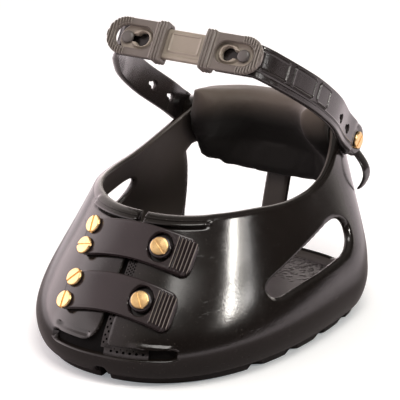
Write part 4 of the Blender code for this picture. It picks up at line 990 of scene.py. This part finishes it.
# %% [markdown]
# ## The heel cuff
#
# A soft sleeve lines the heel. Its upper part is a fat padded roll that folds over the wings' top, its
# lower part is a thinner skirt that ends in a stepped edge. It could be sculpted; a closed section of
# depth and height, swept round the heel, keeps it even and close to the wall. Its ends are drawn in and
# rounded: an end is the share of the way at which it starts, and its span.

# %% Cuff
CUFF_TOP, CUFF_LOW, ROLL_LOW, CUFF_TURN = 0.086, 0.044, 0.064, math.radians(62)
CUFF_REACH = np.array([(0, 0.54), (0.08, 0.6), (0.29, 0.75), (0.43, 0.85), (0.67, 0.96), (1, 1)])
CUFF_BACK, CUFF_OVER, ROLL_THICK, SKIRT_THICK = WALL + 0.0004, WING + 0.0004, 0.0115, 0.0045
RIGHT_END, LEFT_END = (0.92, 0.08), (0.8, 0.26)


def cuff_section():
    """Closed section of depth from the outer wall face and height: skirt below, roll above."""
    back, over, roll, skirt = CUFF_BACK, CUFF_OVER, CUFF_TOP - ROLL_LOW, CUFF_BACK + SKIRT_THICK
    front = back + ROLL_THICK
    knots = [(back, CUFF_LOW + 0.0006), (back, (CUFF_LOW + over) / 2), (back, over - 0.0004),
             (WALL * 0.55, over + 0.0001), (WALL * 0.12, over + roll * 0.12),
             (WALL * 0.35, over + roll * 0.27),
             (back + ROLL_THICK * 0.2, CUFF_TOP - 0.0004), (back + ROLL_THICK * 0.5, CUFF_TOP),
             (back + ROLL_THICK * 0.8, CUFF_TOP - roll * 0.1), (front - 0.0002, CUFF_TOP - roll * 0.3),
             (front, CUFF_TOP - roll * 0.5), (front - 0.001, CUFF_TOP - roll * 0.76),
             (skirt + 0.0036, ROLL_LOW + 0.0006), (skirt + 0.0014, ROLL_LOW - 0.004),
             (skirt + 0.0006, ROLL_LOW - 0.0052), (skirt + 0.0004, (ROLL_LOW + CUFF_LOW) / 2 - 0.002),
             (skirt - 0.0003, CUFF_LOW + 0.0012), (skirt - 0.0018, CUFF_LOW)]
    return curve_through(knots, 5, closed=True)


def cuff_points(turns, around):
    """Sweep the section round the heel, from turn -1 at the right to the left.

    At both ends it shrinks by sqrt(1 - 0.96 end^2), where end goes from 0 to 1 over the last span."""
    depth, height = around[:, 0], around[:, 1]
    t = turns[:, None]
    ends = [np.clip((np.abs(t) - start) / span, 0, 1) for start, span in (RIGHT_END, LEFT_END)]
    end = np.where(t < 0, *ends)
    shrink = np.sqrt(np.clip(1 - 0.96 * end ** 2, 0, 1))
    middle = (ROLL_LOW + CUFF_TOP) / 2
    low = np.clip((ROLL_LOW - height) / (ROLL_LOW - CUFF_LOW), 0, None)
    steps = 0.0024 * smooth(np.abs(t), 0.69, 0.73) - 0.0012 * fall(np.abs(t), 0.1, 0.6)
    dipped = CUFF_OVER + (height - CUFF_OVER) * (1 - 0.55 * (1 - t * t))
    shaped = np.where(height > CUFF_OVER, dipped, height + steps * low)
    z = middle + (shaped - middle) * (0.93 + 0.07 * shrink)
    reach = np.interp((z - CUFF_LOW) / (CUFF_TOP - CUFF_LOW), *CUFF_REACH.T)
    share = np.where(depth >= CUFF_BACK, 0.12 + 0.88 * shrink, smooth(1 - end, 0, 1))
    return foot_point(math.pi + CUFF_TURN * t * reach, z, CUFF_BACK + (depth - CUFF_BACK) * share)


print("cuff section:", len(cuff_section()), "points from", CUFF_LOW, "to", CUFF_TOP, "m")

# %% [markdown]
# ## Swelling the cuff
#
# The real cuff is foam in a sewn cover, and its curves come from the foam pushing the cover out. So the
# swept form is remeshed in even cells and blown up a little as cloth, for twenty frames under a light
# pressure. Each point's way is capped, so that it never enters the wall. One subdivision smooths what is
# left of the cells.

# %% Swelling
def swell(piece, neighbour, cell=0.0018, most=0.0011, spare=0.00015, pressure=4.0, frames=20):
    """Blow a padded piece up a little as cloth on even cells: new = old + way min(1, cap / |way|).

    The cap is the least of the most that a point may move and its gap to the neighbour less a spare."""
    scene, depsgraph = bpy.context.scene, bpy.context.evaluated_depsgraph_get
    cut = piece.modifiers.new("cells", "REMESH")
    cut.mode, cut.voxel_size = "VOXEL", cell
    remeshed = bpy.data.meshes.new_from_object(piece.evaluated_get(depsgraph()))
    piece.modifiers.remove(cut)
    piece.data = remeshed
    rest, blown = (np.empty(len(remeshed.vertices) * 3, np.float32) for _ in range(2))
    remeshed.vertices.foreach_get("co", rest)
    cloth = piece.modifiers.new("swell", "CLOTH")
    cloth.settings.use_pressure, cloth.settings.uniform_pressure_force = True, pressure
    cloth.settings.effector_weights.gravity = 0.0
    cloth.point_cache.frame_start, cloth.point_cache.frame_end = 1, frames
    for number in range(1, frames + 1):
        scene.frame_set(number)
    piece.evaluated_get(depsgraph()).to_mesh().vertices.foreach_get("co", blown)
    piece.modifiers.remove(cloth)
    scene.frame_set(1)
    rest, blown = rest.reshape(-1, 3), blown.reshape(-1, 3)
    tree = BVHTree.FromObject(neighbour, depsgraph())
    gap = np.array([tree.find_nearest(Vector(point))[3] for point in rest])
    way = blown - rest
    length = np.maximum(np.linalg.norm(way, axis=1), 1e-9)
    cap = np.clip(gap - spare, 0, most)
    remeshed.vertices.foreach_set("co", (rest + way * np.minimum(1, cap / length)[:, None]).ravel())
    remeshed.shade_smooth()
    finer = piece.modifiers.new("finer", "SUBSURF")
    finer.levels = finer.render_levels = 1
    print(f"{piece.name}: {len(rest)} points moved up to {np.minimum(length, cap).max() * 1000:.2f} mm")


cuff = skin("heel_cuff", cuff_points(np.linspace(-1, 1.06, 155), cuff_section()), angle=75)
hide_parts("heel_cuff")
swell(cuff, shell_wall)
PIECES[cuff.name] = ("boot", "cuff")

# %% [markdown]
# ## Shader sums
#
# `Wire` stands for one value in a material. Python's own signs make the Math nodes, so a finish reads as a
# sum, and `share.mix(first, second)` blends two colours. A colour is red, green and blue as shares of
# light.

# %% Shader tools
class Wire:
    """A value on its way through a material, with Python's signs as Math nodes."""

    def __init__(self, tree, socket):
        self.tree, self.socket = tree, socket

    def feed(self, target, value):
        """Give a socket a value or another wire."""
        if isinstance(value, Wire):
            self.tree.links.new(value.socket, target)
        else:
            target.default_value = value

    def node(self, kind, output=0, inputs=(), **settings):
        """Add any node: its settings first, then its sockets by name or number; return one output."""
        made = self.tree.nodes.new("ShaderNode" + kind)
        for key, value in settings.items():
            setattr(made, key, value)
        for key, value in dict(inputs).items():
            self.feed(made.inputs[key], value)
        return Wire(self.tree, made.outputs[output])

    def math(self, operation, *values):
        """A Math node on this and other values."""
        return self.node("Math", inputs=enumerate((self,) + values), operation=operation)

    def __add__(self, other):
        return self.math("ADD", other)

    def __mul__(self, other):
        return self.math("MULTIPLY", other)

    __radd__, __rmul__ = __add__, __mul__

    def __sub__(self, other):
        return self.math("SUBTRACT", other)

    def __rsub__(self, other):
        return self.node("Math", inputs=((0, other), (1, self)), operation="SUBTRACT")

    def rise(self, low, high):
        """0 below low, 1 above high, smooth between."""
        return self.node("MapRange", inputs=(("Value", self), ("From Min", low), ("From Max", high)),
                         interpolation_type="SMOOTHSTEP")

    def near(self, value, width):
        """1 at a value, falling to 0 a width away."""
        return 1 - (self - value).math("ABSOLUTE").rise(0, width)

    def along(self, way):
        """How far a vector goes along a direction: their dot product."""
        return self.node("VectorMath", 1, ((0, self), (1, way)), operation="DOT_PRODUCT")

    def length(self):
        """Length of a vector."""
        return self.node("VectorMath", 1, ((0, self),), operation="LENGTH")

    def mix(self, first, second):
        """Mix two colours by this share."""
        first, second = (end if isinstance(end, Wire) else (*end, 1.0) for end in (first, second))
        return self.node("Mix", 2, ((0, self), (6, first), (7, second)), data_type="RGBA")


# %% [markdown]
# ## A finish
#
# `Finish` makes one material. It starts from two vectors, the place on the object and the piece's chart,
# and has the few patterns that the finishes below are mixed from: noise, cells and bump.

# %% Finishes
ACROSS, DEEP, UP = (1, 0, 0), (0, 1, 0), (0, 0, 1)


class Finish:
    """One finish: a Principled shader whose colour, roughness and bump are fed by wires."""

    def __init__(self, name, **uniform):
        self.material = bpy.data.materials.new(name)
        self.material.use_nodes = True
        tree = self.material.node_tree
        self.shader = tree.nodes["Principled BSDF"]
        self.place = Wire(tree, None).node("TexCoord", "Object")
        self.chart = self.place.node("UVMap", uv_map="chart")
        self.set(**uniform)
        print("finish:", name)

    def noise(self, scale, detail=2.0, roughness=0.5, stretch=(1, 1, 1)):
        """Noise from 0 to 1; scale in spots per metre."""
        place = self.place.node("VectorMath", inputs=((0, self.place), (1, stretch)), operation="MULTIPLY")
        return place.node("TexNoise", 0, (("Vector", place), ("Scale", scale), ("Detail", detail),
                                          ("Roughness", roughness)))

    def cells(self, scale):
        """Distance to the middle of the nearest cell; scale in cells per metre."""
        return self.place.node("TexVoronoi", "Distance", (("Vector", self.place), ("Scale", scale)))

    def bump(self, height, distance, strength=1.0, normal=None):
        """A bump of that many metres for a height of one, over another normal if one is given."""
        inputs = [("Height", height), ("Distance", distance), ("Strength", strength)]
        return self.place.node("Bump", 0, inputs + ([("Normal", normal)] if normal else []))

    def set(self, **wires):
        """Feed the shader's sockets."""
        for key, value in wires.items():
            self.place.feed(self.shader.inputs[key.replace("_", " ")], value)
        return self.material


# %% [markdown]
# ## The shell's finishes
#
# The wall is glossy black moulded plastic with a brown cast. Handling leaves fine specks, faint scuffs
# and dust in patches; the inner face is paler and duller. The tread is matt, with a pebbled patch on the
# floor. A picture could be painted for each; noise needs no unwrapping and stays sharp from near. Gloss
# needs a smooth surface, so the wall's bump is less than a tenth of a millimetre.

# %% Shell finishes
gloss = Finish("shell_gloss", Specular_IOR_Level=0.55)
speck, grain, waves = gloss.noise(900, 3, 0.6), gloss.noise(240, 3, 0.6), gloss.noise(45, 2)
scuffs = gloss.noise(70, 5, 0.75, stretch=(1, 1, 4)).rise(0.6, 0.72)
dust, patches = gloss.noise(1500, 1).rise(0.7, 0.78), gloss.noise(32, 2).rise(0.46, 0.62)
inside = gloss.chart.along(DEEP).rise(0.4, 0.9)
colour = waves.mix((0.0055, 0.0042, 0.0036), (0.012, 0.0092, 0.0078))
colour = (dust * (0.25 + patches * 0.6)).mix(colour, (0.095, 0.082, 0.072))
colour = inside.mix(colour, waves.mix((0.044, 0.036, 0.031), (0.074, 0.061, 0.053)))
SHELL = gloss.set(Base_Color=colour, Roughness=0.13 + grain * 0.1 + scuffs * 0.14 + inside * 0.24,
                  Normal=gloss.bump(speck * (0.4 + patches * 0.7), 0.00008, 0.4))

matt = Finish("sole_matt", Specular_IOR_Level=0.4)
wear, y = matt.noise(120, 4, 0.65), matt.place.along(DEEP)
on_floor = matt.place.along(UP).near(FLOOR, 0.0008)
pebble_zone = on_floor * y.rise(0.042, 0.046) * (1 - y.rise(0.071, 0.076))
pebbles = (1 - matt.cells(420) * 1.5).rise(0.15, 0.9) * pebble_zone
colour = wear.mix((0.016, 0.014, 0.014), (0.034, 0.03, 0.029))
colour = (on_floor * y.rise(0.0, 0.02)).mix(colour, (0.06, 0.049, 0.053))
colour = (on_floor * (1 - y.rise(-0.03, 0.0))).mix(colour, (0.003, 0.003, 0.003))
colour = (pebbles * 0.6).mix(colour, (0.13, 0.11, 0.105))
fine = matt.bump(matt.noise(700, 3, 0.6), 0.00012, 0.6)
SOLE = matt.set(Base_Color=colour, Roughness=0.42 + wear * 0.2 - on_floor * 0.08,
                Normal=matt.bump(pebbles, 0.0016, 1.0, fine))

# %% [markdown]
# ## Rubber
#
# The straps are moulded rubber: semi-gloss, with slow drift in colour, dust that has settled on it and
# patches rubbed shiny. Grip ribs are pale along their crests, partly from wear and partly as a painted
# highlight where light would catch them, so that the grooves read as painted shade. A painted map could
# hold that; a formula of the chart stays sharp however near the camera comes. A row of `crests` says
# where the ribs start, their pitch, the two ends of the ribbed part, half their length, and the pale colour
# of the worn and lit crest.

# %% Rubber
def rubber(name, low, high, roughness, speck=0.00005, dust_colour=(0.1, 0.09, 0.085), crests=()):
    """Semi-gloss rubber; a crest is (1 - cos(2 pi (u - start) / pitch)) / 2 between the ribs' ends."""
    finish = Finish(name, Specular_IOR_Level=0.5)
    drift, fine, worn = finish.noise(60, 3), finish.noise(1100, 2, 0.6), finish.noise(160, 4, 0.7)
    dust = finish.noise(650, 3, 0.7).rise(0.62, 0.75)
    colour = (dust * 0.35).mix(drift.mix(low, high), dust_colour)
    for start, pitch, first, last, half, worn_and_lit_colour in crests:
        u, v = finish.chart.along(ACROSS), finish.chart.along(DEEP)
        crest = ((1 - ((u - start) * (2 * math.pi / pitch)).math("COSINE")) * 0.5).rise(0.72, 1.0)
        crest = crest * u.rise(first, first + 0.0003) * (1 - u.rise(last, last + 0.0003))
        crest = crest * (1 - v.math("ABSOLUTE").rise(half, half + 0.0005))
        # A crest's pale colour is partly wear and partly a painted highlight on the rib's top.
        colour = (crest * (0.35 + drift * 0.6)).mix(colour, worn_and_lit_colour)
    return finish.set(Base_Color=colour, Roughness=roughness + worn * 0.16 - 0.06,
                      Normal=finish.bump(fine, speck, 0.5))


# Pale crest colours here and on the toe straps are partly wear and partly a painted highlight on the ribs.
PALE_WORN_AND_LIT_CREST = (0.26, 0.23, 0.2)
TOE_RUBBER = rubber("toe_rubber", (0.018, 0.0135, 0.0142), (0.032, 0.0236, 0.0248), 0.18,
                    dust_colour=(0.06, 0.05, 0.048),
                    crests=[(RIB_START, RIB_PITCH, 0.0187, 0.027, 0.005, (0.24, 0.21, 0.18))])
LOOP_RUBBER = rubber("loop_rubber", (0.013, 0.0105, 0.0102), (0.021, 0.0172, 0.0165), 0.18,
                     dust_colour=(0.06, 0.052, 0.048))
STUD_RUBBER = rubber("stud_rubber", (0.08, 0.072, 0.068), (0.12, 0.108, 0.1), 0.34)
CENTRE_RUBBER = rubber("centre_rubber", (0.27, 0.232, 0.19), (0.37, 0.32, 0.262), 0.36, 0.00006,
                       (0.32, 0.29, 0.25))
RING_RUBBER = rubber("ring_rubber", (0.108, 0.092, 0.08), (0.155, 0.133, 0.117), 0.36, 0.00007,
                     (0.17, 0.15, 0.13),
                     [(0.03736, GRIP_PITCH, 0.0272, 0.0388, 0.009, PALE_WORN_AND_LIT_CREST),
                      (RING_START, KEEPER_PITCH, 0.0105, 0.015, 0.009, PALE_WORN_AND_LIT_CREST)])

# %% [markdown]
# ## Brass, steel, the cuff's cover and the painted shade of the slots
#
# The heads are turned, so their bump runs in rings: sin(21000 r) has a pitch of 0.3 mm. Air has spotted
# them. The nuts are plain steel. The cuff's cover is brushed leather with a little sheen; its roll is
# painted lighter, as light from above, and its skirt is painted nearly black, as shade.

# %% Brass, steel, cuff and slots
turned_brass = Finish("turned_brass", Metallic=1.0)
tarnish, spots = turned_brass.noise(500, 4, 0.65), turned_brass.noise(1400, 2).rise(0.6, 0.72)
colour = (spots * 0.4).mix(tarnish.mix((0.9, 0.63, 0.31), (0.72, 0.47, 0.2)), (0.22, 0.12, 0.05))
rings = (turned_brass.chart.length() * 21000.0).math("SINE")
BRASS = turned_brass.set(Base_Color=colour, Roughness=0.24 + tarnish * 0.18,
                         Normal=turned_brass.bump(rings, 0.000012, 0.6))
plain_steel = Finish("plain_steel", Metallic=1.0)
smudge = plain_steel.noise(300, 4)
STEEL = plain_steel.set(Base_Color=smudge.mix((0.48, 0.47, 0.45), (0.36, 0.35, 0.34)),
                        Roughness=0.3 + smudge * 0.2, Normal=plain_steel.bump(smudge, 0.00002, 0.4))
nubuck = Finish("cuff_nubuck", Specular_IOR_Level=0.3, Sheen_Weight=0.15, Sheen_Roughness=0.5)
nap, pores, broad = nubuck.noise(420, 5, 0.7), nubuck.cells(1500), nubuck.noise(55, 3)
colour = broad.mix((0.09, 0.071, 0.058), (0.125, 0.1, 0.083))
# Painted light and shade: the roll's colour is lighter as if lit from above, and the skirt below is painted
# nearly black as shade.
colour = (1 - nubuck.place.along(UP).rise(0.068, 0.085)).mix(colour, (0.0085, 0.0065, 0.0055))
CUFF = nubuck.set(Base_Color=colour, Roughness=0.52 + nap * 0.2,
                  Normal=nubuck.bump(nap * 0.6 + pores * 0.4, 0.00018, 0.5))
# The slot backing's finish is painted shade: a near-black sheet for the unlit inside behind the slots.
dark = Finish("slot_painted_shade", Specular_IOR_Level=0.15)
shade_mottle = dark.noise(600, 3)
SLOT = dark.set(Base_Color=shade_mottle.mix((0.0015, 0.0012, 0.0012), (0.005, 0.004, 0.004)),
                Roughness=0.7 + shade_mottle * 0.25, Normal=dark.bump(shade_mottle, 0.0001, 0.5))

# %% [markdown]
# ## Bodies and finishes
#
# Every piece rides on the body it was listed with. A slot has one finish, apart from four pieces with
# their own: the sole and the two studs, which look different on the real boot, and the painted shade in
# the slots. The nuts are the frame's own solids; they only get their steel.

# %% Dress the pieces
FINISHES = {"shell": SHELL, "toe_strap": TOE_RUBBER, "pastern_strap": LOOP_RUBBER,
            "centre_strap": CENTRE_RUBBER, "lock_ring": RING_RUBBER, "brass": BRASS, "cuff": CUFF}
OWN_FINISHES = {"sole": SOLE, "slot_backing": SLOT, "left_strap_stud_form": STUD_RUBBER,
                "right_strap_stud_form": STUD_RUBBER}
for name, (body, slot) in PIECES.items():
    piece = bpy.data.objects[name]
    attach(piece, body)
    piece.data.materials.append(OWN_FINISHES.get(name, FINISHES[slot]))
for piece in toe_straps:
    piece.data.materials.append(TOE_RUBBER)
nuts = [node for name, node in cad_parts.items() if name.endswith("_nut")]
for node in nuts:
    node.data.materials.clear()
    node.data.materials.append(STEEL)
print(len(PIECES) + len(toe_straps), "pieces dressed and", len(nuts), "nuts kept")

# %% [markdown]
# ## Floor and surroundings
#
# The photograph is a cut-out on white. So the camera sees a white floor and a white world, and every
# other ray sees a darker room: a pinkish wall at the left, a bright strip beside it, a wall behind and a
# dim ceiling. They give the left flank its sheen and the black wall something to mirror. A room could be
# modelled; a few directions that brighten the world are enough for reflections this soft.

# %% Floor and world
def flat_sheet(name, corners, material):
    """One rectangle from its four corners."""
    made = closed_mesh(name, np.array(corners, float), np.array([[0, 1, 2, 3]]))
    made.data.materials.append(material)


white = Finish("floor_white", Specular_IOR_Level=0.1)
shown, far = white.place.node("LightPath", "Is Camera Ray"), white.place.length().rise(0.13, 0.24)
plain = white.noise(3).mix((0.93, 0.93, 0.93), (0.96, 0.96, 0.96))
# For all rays but the camera's, the floor is painted shade near the boot and glows further out as a painted
# light that the flanks mirror.
colour = shown.mix(far.mix((0.32, 0.29, 0.295), (0.85, 0.8, 0.83)), plain)
glow = shown.mix(far.mix((0, 0, 0), (0.5, 0.45, 0.48)), (0.22, 0.235, 0.245))
FLOOR_WHITE = white.set(Base_Color=colour, Roughness=0.9, Emission_Color=glow, Emission_Strength=1.0)
flat_sheet("floor", [(-3, -3, -0.0003), (3, -3, -0.0003), (3, 3, -0.0003), (-3, 3, -0.0003)], FLOOR_WHITE)
world = bpy.data.worlds.new("studio")
bpy.context.scene.world = world
world.use_nodes = True
lit = world.node_tree.nodes["Background"]
background = Wire(world.node_tree, lit.outputs[0])
seen, way = background.node("LightPath", "Is Camera Ray"), background.node("TexCoord", "Generated")
left_wall = way.along((-0.8, -0.55, 0.25)).rise(0.45, 0.98)
left_edge = way.along((-0.94, 0.34, -0.05)).rise(0.5, 1.0)
back_wall, ceiling = way.along((-0.15, 0.98, -0.1)).rise(0.72, 0.97), way.along(UP).rise(0.45, 1.0)
room = left_wall * 0.95 + left_edge * 2.8 + back_wall * 2.0 + ceiling * 0.3 + 0.04
tint = (left_edge + left_wall).rise(0, 1).mix((1.0, 0.92, 0.85), (1.0, 0.85, 0.87))
background.feed(lit.inputs["Strength"], seen + (1 - seen) * room)
background.feed(lit.inputs["Color"], seen.mix(tint, (1, 1, 1)))

# %% [markdown]
# ## Lamps
#
# A tall soft box far out at the right draws the upright highlight on the front quarter, and a fainter one
# beside it blurs its edge. A small lamp catches the right side strap. A wide one at the left and one
# above are the fill. A picture of a studio could light it all; a lamp can be moved until its highlight
# sits where the photograph has it. Each row: name, place, target, width, height, watts, colour and shape.

# %% Lamps
ROUND, SQUARE = "ELLIPSE", "RECTANGLE"
LAMPS = (
    ("right_box", (0.922, -0.05, 0.612), (0.042, -0.035, 0.04), 0.095, 0.18, 3.4, (1.0, 0.96, 0.9), ROUND),
    ("right_haze", (0.97, 0.061, 0.54), (0.042, -0.02, 0.055), 0.06, 0.16, 0.35, (1.0, 0.95, 0.88), ROUND),
    ("strap_box", (0.329, 0.018, 0.181), (0.036, -0.01, 0.125), 0.035, 0.03, 0.05, (1, 0.98, 0.96), SQUARE),
    ("left_box", (-0.8, -0.45, 0.35), (0, 0, 0.04), 0.8, 0.7, 2.0, (1.0, 0.93, 0.93), SQUARE),
    ("top_box", (0.3, -0.3, 1.05), (0, 0, 0.05), 0.55, 0.55, 6.0, (1.0, 0.97, 0.93), SQUARE))


def stand(name, data, place, target):
    """Put a lamp or a camera at a place, looking at a target."""
    made = bpy.data.objects.new(name, data)
    made.location = place
    made.rotation_euler = (Vector(target) - Vector(place)).to_track_quat("-Z", "Y").to_euler()
    bpy.context.collection.objects.link(made)
    print(f"{name} at", [round(value, 3) for value in place])
    return made


for name, place, target, width, height, watts, colour, shape in LAMPS:
    lamp = bpy.data.lights.new(name, "AREA")
    lamp.shape, lamp.size, lamp.size_y, lamp.energy, lamp.color = shape, width, height, watts, colour
    stand(name, lamp, place, target)

# %% [markdown]
# ## Camera
#
# The camera's place was fitted to the photograph: 29 degrees round from the toe, 20 degrees up and 1.26 m
# away, with a long lens. It aims a little beside and under the boot's middle, as the picture is framed.

# %% Camera
AZIMUTH, ELEVATION = math.radians(29.2), math.radians(20.2)
MIDDLE, AWAY, AIM_RIGHT, AIM_UP, LENS, SENSOR = Vector((0, 0, 0.075)), 1.264, 0.00546, -0.0162, 258.5, 36
level = math.cos(ELEVATION)
back = Vector((math.sin(AZIMUTH) * level, -math.cos(AZIMUTH) * level, math.sin(ELEVATION)))
right = Vector((math.cos(AZIMUTH), math.sin(AZIMUTH), 0))
data = bpy.data.cameras.new("camera")
data.lens, data.sensor_width, data.clip_start = LENS, SENSOR, 0.01
aim = MIDDLE + right * AIM_RIGHT + back.cross(right) * AIM_UP
bpy.context.scene.camera = stand("camera", data, MIDDLE + back * AWAY, aim)
bpy.context.scene.view_settings.view_transform = "Standard"
